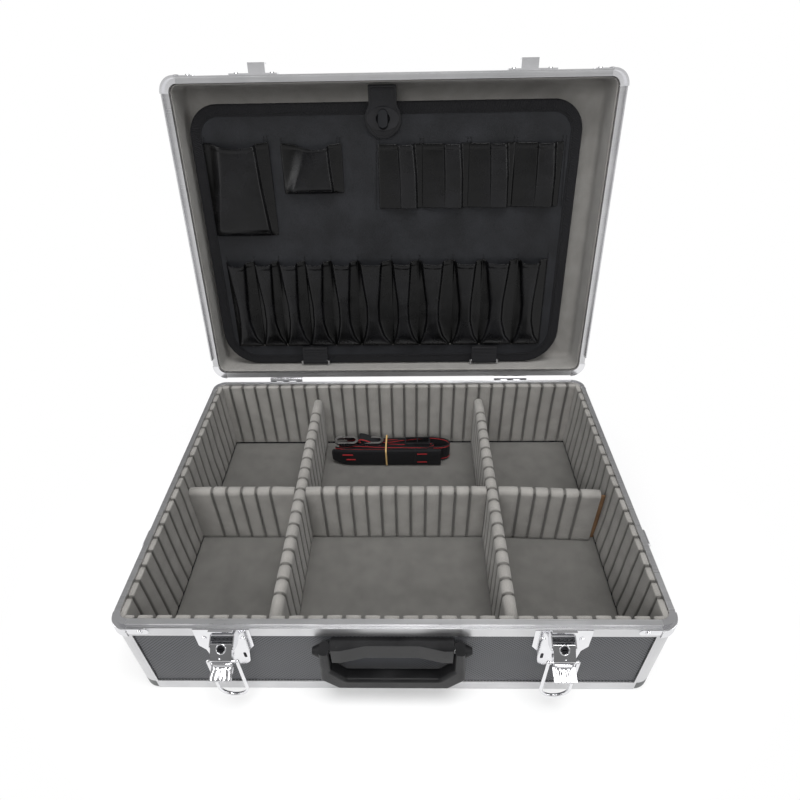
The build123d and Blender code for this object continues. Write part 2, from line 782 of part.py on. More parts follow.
with BuildPart() as latch_plates:
    for side, _ in latch_sides:
        for seat, thickness, top in (
            (front_seat(side), latch_plate, latch_top),
            (front_seat(side, -skin), skin, base_height - rim_flange - body_gap),
        ):
            jog = min(latch_jog, top)
            with BuildSketch(seat) as outline:
                with BuildLine():
                    half = Polyline(
                        (0, latch_bottom),
                        (latch_foot_half, latch_bottom),
                        (latch_half - 5, jog - 7),
                        (latch_half, jog),
                        (latch_half, top),
                        (0, top),
                    )
                    mirror(half, about=Plane.YZ)
                make_face()
                feet = outline.vertices().filter_by(lambda v: v.Y < latch_bottom + 1 and abs(v.X) > 1)
                fillet(feet, latch_foot_half / 2)
                with Locations((0, (latch_window_bottom + latch_window_top) / 2)):
                    Rectangle(
                        2 * (lever_half + ear_gap),
                        latch_window_top - latch_window_bottom,
                        mode=Mode.SUBTRACT,
                    )
                with Locations((0, latch_slot_z)):
                    with GridLocations(2 * latch_slot_x, 0, 2, 1):
                        SlotOverall(latch_slot_length, latch_slot_width, rotation=90, mode=Mode.SUBTRACT)
                with Locations((0, latch_rivet_z)):
                    with GridLocations(2 * latch_rivet_x, 0, 2, 1):
                        Circle(rivet_radius, mode=Mode.SUBTRACT)
            extrude(outline.sketch, amount=thickness)
        flange_half = bail_half - bail_wire_radius - 2 * body_gap
        block(
            (side * latch_x - flange_half, side * latch_x + flange_half),
            (-half_depth - latch_flange, -half_depth),
            (latch_top - latch_plate, latch_top),
        )
        for ear_side in (-1, 1):
            inner = side * latch_x + ear_side * (lever_half + ear_gap)
            with BuildSketch(side_plane(inner)) as cheek:
                Polygon(
                    (0, lever_pivot_z - ear_half_height),
                    (0, lever_pivot_z + ear_half_height),
                    (lever_pivot_out + ear_nose / 2, lever_pivot_z + ear_nose),
                    (lever_pivot_out + ear_nose / 2, lever_pivot_z - ear_nose),
                    align=None,
                )
                with Locations((lever_pivot_out, lever_pivot_z)):
                    Circle(ear_nose)
                    Circle(lever_pin_radius, mode=Mode.SUBTRACT)
            extrude(cheek.sketch, amount=-ear_side * ear)
latch_plates.part.label = "latch_plates"
export_step(latch_plates.part, "parts/latch_plates.step")

with BuildPart() as latch_pins:
    for side, _ in latch_sides:
        for ear_side in (-1, 1):
            outer = ear_side * (lever_half + ear_gap + ear)
            with BuildSketch(lever_plane(side * latch_x + outer)) as pin:
                Circle(lever_pin_radius)
            extrude(pin.sketch, amount=ear_side * (ear + ear_gap + lever_pin_depth))
latch_pins.part.label = "latch_pins"
export_step(latch_pins.part, "parts/latch_pins.step")

for side, name in latch_sides:
    middle = lever_plane(side * latch_x)
    with BuildPart() as latch_lever:
        with BuildSketch(middle) as profile:
            with BuildLine():
                Polyline(
                    (lever_face, 2.2),
                    (lever_face, -11.1),
                    (-2.3, -15.4),
                    (-1.2, -18.1),
                    (4.1, -26.4),
                    (0.9, -27.2),
                    (-2.8, -20.4),
                    (-4.4, -16.2),
                    (-3.9, -10.0),
                    (-3.6, -0.6),
                    (-0.1, 3.1),
                    close=True,
                )
            make_face()
            fillet(profile.vertices(), lever_rounding)
        extrude(amount=lever_half, both=True)
        for ear_side in (-1, 1):
            outer = lever_plane(side * latch_x + ear_side * lever_half)
            cut_through(outer, lever_pin_radius + running_fit, 0, ear_side * (lever_pin_depth + body_gap))
        cut_through(
            Plane(origin=bail_axis(side), x_dir=lever_out, z_dir=(-1, 0, 0)),
            bail_journal_radius + running_fit,
            -lever_half,
            lever_half,
        )
        cut_through(lever_face_plane(side, lock_along), lock_radius + running_fit, 0, -lock_depth - body_gap)
        cut_through(lever_face_plane(side, stud_along), stud_radius, 0, -stud_depth)
    latch_lever.part.label = f"latch_lever_{name}"
    export_step(latch_lever.part, f"parts/latch_lever_{name}.step")

    with BuildPart() as latch_lock:
        with BuildSketch(lever_face_plane(side, lock_along).offset(lock_proud)) as barrel:
            Circle(lock_radius)
        extrude(barrel.sketch, amount=-lock_depth - lock_proud)
        with BuildSketch(lever_face_plane(side, lock_along).offset(lock_proud)) as keyway:
            SlotOverall(keyway_length, keyway_width)
        extrude(keyway.sketch, amount=-lock_depth, mode=Mode.SUBTRACT)
    latch_lock.part.label = f"latch_lock_{name}"
    export_step(latch_lock.part, f"parts/latch_lock_{name}.step")

    hanging = Plane(origin=bail_axis(side), x_dir=(1, 0, 0), z_dir=(0, -1, 0))
    with BuildPart(hanging) as latch_bail:
        leg = bail_length - bail_half
        with BuildLine(hanging) as loop:
            Line((-bail_half, 0), (-bail_half, -leg))
            ThreePointArc((-bail_half, -leg), (0, -bail_length), (bail_half, -leg))
            Line((bail_half, -leg), (bail_half, 0))
        start = hanging.from_local_coords((-bail_half, 0, 0))
        with BuildSketch(Plane(origin=start, z_dir=(0, 0, -1))) as wire:
            Circle(bail_wire_radius)
        sweep(wire.sketch, path=loop.wire())
        reach = bail_half - lever_half + bail_journal
        for ear_side in (-1, 1):
            with Locations((ear_side * bail_half, 0, 0)):
                Sphere(bail_wire_radius)
            with Locations(Location((ear_side * (bail_half - reach / 2), 0, 0), (0, 90, 0))):
                Cylinder(bail_journal_radius, reach)
    latch_bail.part.label = f"latch_bail_{name}"
    export_step(latch_bail.part, f"parts/latch_bail_{name}.step")

# ---- carrying rings ---------------------------------------------------------------
ring_out = anchor_sheet + body_gap + ring_wire_radius
ring_sides = ((-1, "left"), (1, "right"))


def ring_plane(side, out=0.0):
    """A case side at its ring's height: X along the case, Y up, normal outwards."""
    return Plane(origin=(side * (half_width + out), ring_y, ring_z), x_dir=(0, side, 0), z_dir=(side, 0, 0))


with BuildPart() as ring_anchors:
    for side, name in ring_sides:
        seat = ring_plane(side)
        with BuildSketch(seat) as backing:
            with Locations((0, (anchor_top + anchor_bottom) / 2 - ring_z)):
                RectangleRounded(2 * anchor_half, anchor_top - anchor_bottom, anchor_rounding)
        extrude(backing.sketch, amount=anchor_sheet)
        across = Plane(
            origin=(side * (half_width + ring_out), ring_y, ring_z), x_dir=(0, 0, 1), z_dir=(0, 1, 0)
        )
        outer = ring_wire_radius + running_fit + clip_wall
        with BuildSketch(across) as clip:
            Circle(outer)
        extrude(clip.sketch, amount=clip_half, both=True)
        block(
            sorted((side * half_width, side * (half_width + ring_out))),
            (ring_y - clip_half, ring_y + clip_half),
            (ring_z - outer, ring_z + outer),
        )
        cut_through(across, ring_wire_radius + running_fit, -clip_half, clip_half)
ring_anchors.part.label = "ring_anchors"
export_step(ring_anchors.part, "parts/ring_anchors.step")

for side, name in ring_sides:
    hanging = ring_plane(side, ring_out)
    with BuildPart() as carry_ring:
        with BuildLine(hanging) as loop:
            Line((0, 0), (ring_half - ring_corner, 0))
            RadiusArc((ring_half - ring_corner, 0), (ring_half, -ring_corner), ring_corner)
            Line((ring_half, -ring_corner), (ring_half, ring_half - ring_drop))
            RadiusArc((ring_half, ring_half - ring_drop), (0, -ring_drop), ring_half)
            RadiusArc((0, -ring_drop), (-ring_half, ring_half - ring_drop), ring_half)
            Line((-ring_half, ring_half - ring_drop), (-ring_half, -ring_corner))
            RadiusArc((-ring_half, -ring_corner), (ring_corner - ring_half, 0), ring_corner)
            Line((ring_corner - ring_half, 0), (0, 0))
        with BuildSketch(Plane(origin=hanging.origin, x_dir=(0, 0, 1), z_dir=(0, side, 0))) as wire:
            Circle(ring_wire_radius)
        sweep(wire.sketch, path=loop.wire())
    carry_ring.part.label = f"carry_ring_{name}"
    export_step(carry_ring.part, f"parts/carry_ring_{name}.step")

# ---- rivets of the base -----------------------------------------------------------
hinge_rivet_height = (leaf_start + leaf_end + knuckle_radius) / 2


def cap_rivets(plane, height):
    """Rivets in the tabs of a shell's rim corners."""
    for side in (-1, 1):
        for x in (cap_rivet_inset - half_width, half_width - cap_rivet_inset):
            seat = face_of(plane, side)
            spot = seat.from_local_coords((x, height - rim_flange / 2, cap_wall))
            rivet(Plane(origin=spot, x_dir=seat.x_dir, z_dir=seat.z_dir), cap_wall)


def hinge_rivets(plane, sense):
    """Rivets in the hinge leaves on one side of the hinge axis."""
    for x in (-hinge_x, hinge_x):
        for n in (-1, 0, 1):
            spot = (x + n * hinge_rivet_pitch, half_depth + leaf, sense * hinge_rivet_height)
            rivet(Plane(origin=plane.from_local_coords(spot), x_dir=plane.x_dir, z_dir=plane.y_dir), leaf)


with BuildPart() as base_rivets:
    cap_rivets(base_plane, base_height)
    hinge_rivets(base_hinge_plane, -1)
    for side in (-1, 1):
        for x in (-latch_rivet_x, latch_rivet_x):
            spot = front_seat(side, latch_plate).from_local_coords((x, latch_rivet_z, 0))
            rivet(Plane(origin=spot, x_dir=(1, 0, 0), z_dir=(0, -1, 0)), latch_plate)
base_rivets.part.label = "base_rivets"
export_step(base_rivets.part, "parts/base_rivets.step")

# ---- lid shell --------------------------------------------------------------------
lid_liner_inside = rim_wall + lid_liner
with BuildPart() as lid_panel:
    add(top_panel(lid_shell))
lid_panel.part.label = "lid_panel"
export_step(lid_panel.part, "parts/lid_panel.step")

with BuildPart() as lid_long_panels:
    add(wall_panel(lid_shell, lid_height, -1))
    add(wall_panel(lid_shell, lid_height, 1))
lid_long_panels.part.label = "lid_long_panels"
export_step(lid_long_panels.part, "parts/lid_long_panels.step")

with BuildPart() as lid_side_panels:
    add(side_panels(lid_shell, lid_height))
lid_side_panels.part.label = "lid_side_panels"
export_step(lid_side_panels.part, "parts/lid_side_panels.step")

with BuildPart() as lid_edge_frame:
    add(edge_frame(lid_shell))
lid_edge_frame.part.label = "lid_edge_frame"
export_step(lid_edge_frame.part, "parts/lid_edge_frame.step")

with BuildPart() as lid_corner_feet:
    add(plastic_corners(lid_shell))
lid_corner_feet.part.label = "lid_corner_feet"
export_step(lid_corner_feet.part, "parts/lid_corner_feet.step")

with BuildPart() as lid_corner_posts:
    add(corner_posts(lid_shell, lid_height))
lid_corner_posts.part.label = "lid_corner_posts"
export_step(lid_corner_posts.part, "parts/lid_corner_posts.step")

with BuildPart() as lid_rim:
    rim_section(lid_shell, lid_height, "sides", tongue=False)
    skirt(lid_shell, lid_height, "sides")
lid_rim.part.label = "lid_rim"
export_step(lid_rim.part, "parts/lid_rim.step")

with BuildPart() as lid_rim_caps:
    rim_section(lid_shell, lid_height, "corners", tongue=False)
    skirt(lid_shell, lid_height, "corners", outer=-cap_wall)
    band(lid_shell, lid_height - rim_flange, lid_height, -cap_wall, 0, "corners")
    cap_tabs(lid_shell, lid_height)
lid_rim_caps.part.label = "lid_rim_caps"
export_step(lid_rim_caps.part, "parts/lid_rim_caps.step")

with BuildPart() as lid_liner_walls:
    flange_start = lid_height - rim_inner_flange
    band(lid_shell, panel_inside, flange_start, panel_inside, lid_liner_inside, "all")
    band(lid_shell, flange_start, lid_height - lid_liner_drop, rim_wall, lid_liner_inside, "all")
lid_liner_walls.part.label = "lid_liner_walls"
export_step(lid_liner_walls.part, "parts/lid_liner_walls.step")

# ---- latch hooks on the lid -------------------------------------------------------
with BuildPart() as latch_hooks:
    for side in (-1, 1):
        foot = lid.from_local_coords((side * latch_x, -half_depth, seam_half))
        with BuildSketch(Plane(origin=foot, x_dir=lid_x, z_dir=-lid_y)) as backing:
            with BuildLine():
                half = Polyline(
                    (0, hook_plate_low),
                    (hook_plate_half, hook_plate_low),
                    (hook_plate_half, hook_wing_high),
                    (hook_plate_top_half, hook_plate_high),
                    (0, hook_plate_high),
                )
                mirror(half, about=Plane.YZ)
            make_face()
            with Locations((0, hook_rivet_high)):
                with GridLocations(2 * hook_rivet_x, 0, 2, 1):
                    Circle(rivet_radius, mode=Mode.SUBTRACT)
        extrude(backing.sketch, amount=hook_sheet)
        with BuildSketch(Plane(origin=foot, x_dir=-lid_y, z_dir=-lid_x)) as hook:
            Polygon(
                (0, hook_trough - hook_sheet),
                (hook_out, hook_trough - hook_sheet),
                (hook_out, hook_trough + hook_lip),
                (hook_out - hook_sheet, hook_trough + hook_lip),
                (hook_out - hook_sheet, hook_trough),
                (0, hook_trough),
                align=None,
            )
        extrude(hook.sketch, amount=hook_half, both=True)
latch_hooks.part.label = "latch_hooks"
export_step(latch_hooks.part, "parts/latch_hooks.step")

with BuildPart() as lid_rivets:
    cap_rivets(lid_shell, lid_height)
    hinge_rivets(lid, 1)
    for side in (-1, 1):
        for x in (-hook_rivet_x, hook_rivet_x):
            spot = (side * latch_x + x, -half_depth - hook_sheet, seam_half + hook_rivet_high)
            rivet(Plane(origin=lid.from_local_coords(spot), x_dir=lid_x, z_dir=-lid_y), hook_sheet)
lid_rivets.part.label = "lid_rivets"
export_step(lid_rivets.part, "parts/lid_rivets.step")

# ---- tool pallet ------------------------------------------------------------------
rear_edge = lid.from_local_coords((0, half_depth, seam_half))
inside = Plane(origin=rear_edge, x_dir=lid_x, z_dir=-lid_z)
binding_back = pallet_face + pallet_board + binding_wall
binding_front = pallet_face - binding_wall


def into_lid(depth):
    """The lid's inner view at a depth from its rim: X right, Y up from the rear edge."""
    return inside.offset(-depth)


def slab(x, up, depth):
    """Add a box in the lid, given by its limits across, up and into the lid."""
    with BuildSketch(into_lid(depth[1])) as outline:
        with Locations(((x[0] + x[1]) / 2, (up[0] + up[1]) / 2)):
            Rectangle(x[1] - x[0], up[1] - up[0])
    extrude(outline.sketch, amount=depth[1] - depth[0])


def pallet_outline(depth, inset):
    """The pallet's outline at a depth in the lid, drawn in by inset."""
    with BuildSketch(into_lid(depth)) as outline:
        left = pallet_x - pallet_width / 2 + inset
        right = pallet_x + pallet_width / 2 - inset
        with BuildLine():
            Polyline(
                (left, pallet_low + inset),
                (right, pallet_low + inset),
                (right, pallet_high - inset),
                (left, pallet_high - inset),
                close=True,
            )
        make_face()
        fillet(outline.vertices().group_by(Axis.Y)[0], pallet_foot_radius - inset)
        fillet(outline.vertices().group_by(Axis.Y)[-1], pallet_top_radius - inset)
    return outline.sketch


with BuildPart() as pallet_board_sheet:
    extrude(pallet_outline(pallet_face + pallet_board, binding_wall), amount=pallet_board)
pallet_board_sheet.part.label = "pallet_board"
export_step(pallet_board_sheet.part, "parts/pallet_board.step")

with BuildPart() as pallet_binding:
    thickness = binding_back - binding_front
    extrude(pallet_outline(binding_back, 0), amount=thickness)
    extrude(pallet_outline(binding_back, binding_width), amount=thickness, mode=Mode.SUBTRACT)
    extrude(pallet_outline(pallet_face + pallet_board, binding_wall), amount=pallet_board, mode=Mode.SUBTRACT)
pallet_binding.part.label = "pallet_binding"
export_step(pallet_binding.part, "parts/pallet_binding.step")


def pocket_row(seam_layout, span_layout):
    """A row of open-topped pockets on the pallet, with its layout spread over the board.

    A front sheet, ribs at the seams and a floor; every pocket is open at its top.
    """
    rise = (pallet_high - pallet_low) / drawn_height
    seams = [pallet_x + (x - pallet_x) * pallet_width / drawn_width for x in seam_layout]
    span = [pallet_low + (up - pallet_low) * rise for up in span_layout]
    front_depth = pallet_face - pocket_depth
    with BuildPart() as row:
        slab((seams[0], seams[-1]), span, (front_depth - pocket_sheet, front_depth))
        for seam in seams:
            rib = (seam - pocket_rib / 2, seam + pocket_rib / 2)
            if seam == seams[0]:
                rib = (seam, seam + pocket_rib)
            if seam == seams[-1]:
                rib = (seam - pocket_rib, seam)
            slab(rib, span, (front_depth, pallet_face))
        slab((seams[0], seams[-1]), (span[0], span[0] + pocket_sheet), (front_depth, pallet_face))
    return row.part


for name, rows in (
    ("pallet_pockets_lower", ((lower_seams, lower_span),)),
    ("pallet_pockets_upper", ((upper_seams, upper_span),)),
    ("pallet_pouches", ((large_seams, large_span), (small_seams, small_span))),
):
    with BuildPart() as pockets:
        for seams, span in rows:
            add(pocket_row(seams, span))
    pockets.part.label = name
    export_step(pockets.part, f"parts/{name}.step")

loop_radius = loop_rod_radius + running_fit + tab_sheet


def across_lid(x, up, depth):
    """A plane across the lid at x, on a point given up and into the lid."""
    return Plane(origin=inside.from_local_coords((x, up, -depth)), x_dir=inside.y_dir, z_dir=lid_x)


with BuildPart() as pallet_tabs:
    for x in tab_x:
        with BuildSketch(across_lid(x, pallet_pivot_up, pallet_pivot_in)) as loop:
            Circle(loop_radius)
        extrude(loop.sketch, amount=tab_half, both=True)
        back = pallet_pivot_in + loop_radius
        slab((x - tab_half, x + tab_half), (pallet_pivot_up, tab_high), (back - tab_sheet, back))
        cut_through(
            across_lid(x, pallet_pivot_up, pallet_pivot_in),
            loop_rod_radius + running_fit,
            -tab_half,
            tab_half,
        )
pallet_tabs.part.label = "pallet_tabs"
export_step(pallet_tabs.part, "parts/pallet_tabs.step")

bracket_low = lid_liner_inside
with BuildPart() as pallet_rods:
    for x in tab_x:
        with BuildSketch(across_lid(x, pallet_pivot_up, pallet_pivot_in)) as rod:
            Circle(loop_rod_radius)
        extrude(rod.sketch, amount=tab_half + body_gap + loop_bracket, both=True)
        for side in (-1, 1):
            inner = x + side * (tab_half + body_gap)
            slab(
                sorted((inner, inner + side * loop_bracket)),
                (bracket_low, pallet_pivot_up + loop_rod_radius),
                (pallet_pivot_in - loop_rod_radius, pallet_pivot_in + loop_rod_radius),
            )
pallet_rods.part.label = "pallet_rods"
export_step(pallet_rods.part, "parts/pallet_rods.step")

# ---- turn knob and retaining strap ------------------------------------------------
with BuildPart() as knob_plate:
    with BuildSketch(into_lid(pallet_face)) as foot:
        with Locations((knob_x, knob_up)):
            Circle(knob_plate_radius)
            Circle(knob_post_radius + running_fit, mode=Mode.SUBTRACT)
    extrude(foot.sketch, amount=knob_base)
knob_plate.part.label = "knob_plate"
export_step(knob_plate.part, "parts/knob_plate.step")

with BuildPart() as turn_knob:
    with BuildSketch(into_lid(knob_face + knob_thickness)) as head:
        with Locations((knob_x, knob_up)):
            SlotOverall(knob_long, knob_wide, rotation=90)
    extrude(head.sketch, amount=knob_thickness)
    with BuildSketch(into_lid(pallet_face - running_fit)) as post:
        with Locations((knob_x, knob_up)):
            Circle(knob_post_radius)
    extrude(post.sketch, amount=pallet_face - running_fit - knob_face - knob_thickness)
turn_knob.part.label = "turn_knob"
export_step(turn_knob.part, "parts/turn_knob.step")

# The strap's plane runs from its hinge line to the knob: X right, Y up, Z out of the lid.
strap_root = inside.from_local_coords((knob_x, strap_pivot_up, -strap_pivot_in))
strap_hole = inside.from_local_coords((knob_x, knob_up, -strap_knob_in))
strap_up = (strap_root - strap_hole).normalized()
strap_plane = Plane(origin=strap_hole, x_dir=lid_x, z_dir=lid_x.cross(strap_up))
strap_reach = (strap_root - strap_hole).length


def strap_cutout():
    """The hole for the knob, in the strap's plane: a wide oval crossed by an upright slot."""
    with BuildSketch() as hole:
        SlotOverall(eyelet_slot, eyelet_slot_height)
        with Locations((0, -knob_swing_gap / 2)):
            SlotOverall(
                knob_long + 2 * knob_gap + knob_swing_gap, knob_wide + 2 * knob_gap, rotation=90
            )
    return hole.sketch


with BuildPart() as retaining_strap:
    with BuildSketch(strap_plane.offset(-strap_sheet / 2)):
        Circle(strap_end_radius)
        with Locations((0, strap_reach / 2)):
            Rectangle(strap_neck, strap_reach)
        add(strap_cutout(), mode=Mode.SUBTRACT)
    extrude(amount=strap_sheet)
retaining_strap.part.label = "retaining_strap"
export_step(retaining_strap.part, "parts/retaining_strap.step")

with BuildPart() as strap_eyelet:
    with BuildSketch(strap_plane.offset(strap_sheet / 2)):
        Ellipse(eyelet_width / 2, eyelet_height / 2)
        add(strap_cutout(), mode=Mode.SUBTRACT)
    extrude(amount=eyelet_sheet)
strap_eyelet.part.label = "strap_eyelet"
export_step(strap_eyelet.part, "parts/strap_eyelet.step")

# ---- folded shoulder strap --------------------------------------------------------
bundle_low = floor_top + body_gap + band_wall
bundle_front = bundle_y - bundle_depth / 2
pad_front = bundle_front - shoulder_pad_sheet

with BuildPart() as shoulder_strap:
    with BuildSketch(Plane.XY.offset(bundle_low)):
        with Locations((bundle_x, bundle_y)):
            SlotOverall(bundle_length, bundle_depth)
    extrude(amount=bundle_height)
shoulder_strap.part.label = "shoulder_strap"
export_step(shoulder_strap.part, "parts/shoulder_strap.step")

with BuildPart() as shoulder_pad:
    block(
        (bundle_x - bundle_length / 2, bundle_x - bundle_length / 2 + shoulder_pad_length),
        (pad_front, bundle_front),
        (bundle_low, bundle_low + bundle_height),
    )
    fillet(shoulder_pad.edges().filter_by(Axis.Z), shoulder_pad_sheet / 2 - 0.1)
shoulder_pad.part.label = "shoulder_pad"
export_step(shoulder_pad.part, "parts/shoulder_pad.step")

bundle_top = bundle_low + bundle_height
with BuildPart() as snap_hooks:
    for x in snap_x:
        with BuildSketch(Plane.XY.offset(bundle_top)) as loop:
            with Locations((x, bundle_y)):
                SlotOverall(snap_length, 2 * snap_half + 2 * snap_wire_radius)
                SlotOverall(
                    snap_length - 4 * snap_wire_radius,
                    2 * snap_half - 2 * snap_wire_radius,
                    mode=Mode.SUBTRACT,
                )
        extrude(loop.sketch, amount=2 * snap_wire_radius)
snap_hooks.part.label = "snap_hooks"
export_step(snap_hooks.part, "parts/snap_hooks.step")

with BuildPart() as strap_slider:
    with BuildSketch(Plane.XY.offset(bundle_top)):
        with Locations((slider_x, bundle_y)):
            RectangleRounded(slider_length, slider_depth, slider_wire)
            with GridLocations((slider_length - slider_wire) / 2, 0, 2, 1):
                Rectangle(
                    (slider_length - 3 * slider_wire) / 2,
                    slider_depth - 2 * slider_wire,
                    mode=Mode.SUBTRACT,
                )
    extrude(amount=slider_wire)
strap_slider.part.label = "strap_slider"
export_step(strap_slider.part, "parts/strap_slider.step")

with BuildPart() as strap_band:
    for wall, mode in ((band_wall, Mode.ADD), (0, Mode.SUBTRACT)):
        block(
            (band_x - band_width / 2, band_x + band_width / 2),
            (pad_front - wall, bundle_y + bundle_depth / 2 + wall),
            (bundle_low - wall, bundle_top + wall),
            mode,
        )
strap_band.part.label = "strap_band"
export_step(strap_band.part, "parts/strap_band.step")
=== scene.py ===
# %% [markdown]
# # An open aluminium attache case
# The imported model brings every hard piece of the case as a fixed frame. This lesson
# dresses it: it lights the case, gives every node a finish made of shader nodes, and
# works out the soft pieces (foam, cloth, pockets, webbing) as surfaces with numpy.
# The frame is in metres with X right, Y back and Z up. The drawings below are in
# millimetres, and MM brings them to metres when a mesh is made.

# %% Load the frame
import math
import bpy
import bmesh
import numpy as np
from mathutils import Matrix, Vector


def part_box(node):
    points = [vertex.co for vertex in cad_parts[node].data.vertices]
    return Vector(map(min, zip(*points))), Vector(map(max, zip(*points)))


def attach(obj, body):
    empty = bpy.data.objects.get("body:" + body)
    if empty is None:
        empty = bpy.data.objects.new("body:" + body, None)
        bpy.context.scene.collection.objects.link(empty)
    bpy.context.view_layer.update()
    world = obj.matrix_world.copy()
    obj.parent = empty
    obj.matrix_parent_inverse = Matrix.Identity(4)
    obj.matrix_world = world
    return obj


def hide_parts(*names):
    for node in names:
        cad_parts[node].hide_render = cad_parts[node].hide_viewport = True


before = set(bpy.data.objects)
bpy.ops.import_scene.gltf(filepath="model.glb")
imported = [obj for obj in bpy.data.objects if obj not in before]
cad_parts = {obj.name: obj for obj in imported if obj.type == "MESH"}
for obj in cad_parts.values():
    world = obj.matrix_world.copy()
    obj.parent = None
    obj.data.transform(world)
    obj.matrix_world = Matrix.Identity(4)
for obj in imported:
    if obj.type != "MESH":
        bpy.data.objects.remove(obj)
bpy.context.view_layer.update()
MM = 0.001
CASE_HALF = (230.0, 165.0)      # half the outside of the two shells, in mm
CASE_CORNER = 15.0              # radius of the shells' upright corners
RIM_TOP = 105.0                 # top of the base's rim above the floor
bpy.context.scene.view_settings.view_transform = "Standard"

# %% [markdown]
# ## Camera
# The case is seen from above its front edge, so that the padded bays and the inside of
# the lid both show. A short lens close to the case gives the strong perspective: the
# front edge is much wider in the picture than the back one. The camera could be aimed
# with a tracking constraint, but three plain angles are easier to repeat exactly.

# %% Camera
camera = bpy.data.objects.new("camera", bpy.data.cameras.new("camera"))
camera.location = (0.0172, -0.4076, 0.5256)
camera.rotation_euler = [math.radians(a) for a in (51.71, 1.0, 0.72)]
camera.data.lens = 25.56
camera.data.sensor_width = 36.0
camera.data.clip_start = 0.01
bpy.context.scene.collection.objects.link(camera)
bpy.context.scene.camera = camera
print("camera at", tuple(camera.location), "lens", camera.data.lens)

# %% [markdown]
# ## Surfaces from grids
# Every soft piece here is one grid of points: a function of two parameters, or a
# profile carried along a path. One helper turns such a grid into a mesh. It writes the
# lengths along the grid into a UV map in metres, so that a weave keeps its size however
# the cloth bends, and it joins the points where the grid meets itself.

# %% From a grid to a mesh
def arc_length(points, axis):
    """Mean distance travelled along one axis of a grid: the running sum of steps."""
    steps = np.linalg.norm(np.diff(points, axis=axis), axis=2)
    mean = steps.mean(axis=1 - axis)
    return np.concatenate([[0.0], np.cumsum(mean)])


def surface(name, points, outward=True, smooth=True, shade=None):
    """Mesh of a (rows, columns, 3) grid in mm: cell (i, j) is the quad between points
    (i, j), (i, j+1), (i+1, j+1) and (i+1, j). UV is (length down the columns, length
    along the rows). Points that fall together are joined. A painted shade from 0 to 1 for
    every point, such as how deep it lies in a groove, is kept as the attribute "groove"."""
    points = np.asarray(points, float)
    rows, columns = points.shape[:2]
    along = arc_length(points, 0) * MM
    across = arc_length(points, 1) * MM
    index = np.arange(rows * columns).reshape(rows, columns)
    quads = np.stack([index[:-1, :-1], index[:-1, 1:], index[1:, 1:], index[1:, :-1]], -1)
    quads = quads.reshape(-1, 4)
    mesh = bpy.data.meshes.new(name)
    mesh.from_pydata((points.reshape(-1, 3) * MM).tolist(), [], quads.tolist())
    uv = np.stack(np.meshgrid(along, across, indexing="ij"), -1).reshape(-1, 2)
    layer = mesh.uv_layers.new(name="UVMap")
    layer.data.foreach_set("uv", uv[quads.reshape(-1)].astype(np.float32).ravel())
    if shade is not None:
        kept = mesh.attributes.new("groove", "FLOAT", "POINT")
        kept.data.foreach_set("value", np.ascontiguousarray(shade, np.float32).ravel())
    made = bpy.data.objects.new(name, mesh)
    bpy.context.scene.collection.objects.link(made)
    tidy(mesh, outward)
    if smooth:
        mesh.polygons.foreach_set("use_smooth", np.ones(len(mesh.polygons), bool))
    return made


def tidy(mesh, outward=True):
    """Joins points closer than a micrometre and, on a closed form, turns faces outwards."""
    shape = bmesh.new()
    shape.from_mesh(mesh)
    bmesh.ops.remove_doubles(shape, verts=shape.verts, dist=2e-6)
    bmesh.ops.dissolve_degenerate(shape, edges=shape.edges, dist=1e-7)
    if outward:
        bmesh.ops.recalc_face_normals(shape, faces=shape.faces)
    shape.to_mesh(mesh)
    shape.free()
    mesh.update()


def ends_closed(grid, steps=4, reach=0.0):
    """Adds rings at both ends of a tube-like grid that shrink to its middle: ring k is
    middle + (ring - middle) * cos(90 k / n), moved out by reach * sin(90 k / n)."""
    turns = np.linspace(0, math.pi / 2, steps + 1)[1:]
    def cap(ring, beyond):
        middle = ring[:-1].mean(axis=0)
        out = middle - beyond
        out = out / max(np.linalg.norm(out), 1e-9)
        shrunk = middle + (ring - middle)[None] * np.cos(turns)[:, None, None]
        return shrunk + out[None, None] * reach * np.sin(turns)[:, None, None]
    first = cap(grid[0], grid[1][:-1].mean(axis=0))[::-1]
    last = cap(grid[-1], grid[-2][:-1].mean(axis=0))
    return np.concatenate([first, grid, last])


print("helpers: surface, tidy, ends_closed")

# %% Smooth random waves
def waves(x, y, seed, size, octaves=3):
    """Gentle unevenness of hand-laid cloth: a sum of sines with seeded directions and
    phases, sum of sin(k . p + phase) / octave, scaled to lie between -1 and 1."""
    rng = np.random.default_rng(seed)
    total = np.zeros(np.broadcast(x, y).shape)
    for octave in range(1, octaves + 1):
        for _ in range(4):
            angle = rng.uniform(0, 2 * math.pi)
            pull = 2 * math.pi * octave / size
            total += np.sin(pull * (x * math.cos(angle) + y * math.sin(angle))
                            + rng.uniform(0, 2 * math.pi)) / octave
    return total / 7.3

# %% Inside the lid
OPEN = math.radians(100.0)
HINGE_Y, HINGE_Z = 168.0, 105.25


def in_lid(x, up, depth):
    """A point of the open lid: x to the right, up from its rear edge, depth from its rim
    towards its top panel. The closed lid is turned by 100 degrees round the hinge."""
    y = -(np.asarray(up, float) + 3.0)
    z = np.asarray(depth, float) + 0.25
    world_y = HINGE_Y + y * math.cos(OPEN) + z * math.sin(OPEN)
    world_z = HINGE_Z - y * math.sin(OPEN) + z * math.cos(OPEN)
    x, world_y, world_z = np.broadcast_arrays(x, world_y, world_z)
    return np.stack([x, world_y, world_z], -1)


print("top of the open lid:", in_lid(0.0, 330.0, 0.0).round(1))

# %% [markdown]
# ## Finishes
# Satin aluminium, chrome, moulded plastic, knitted cloth over foam, artificial leather
# and ribbed webbing all need grain, weave or wear. Each such effect is a node group
# made once, which gives out a colour factor, a roughness or a height. The shader stays
# in the material, so that each finish can be read on its own.

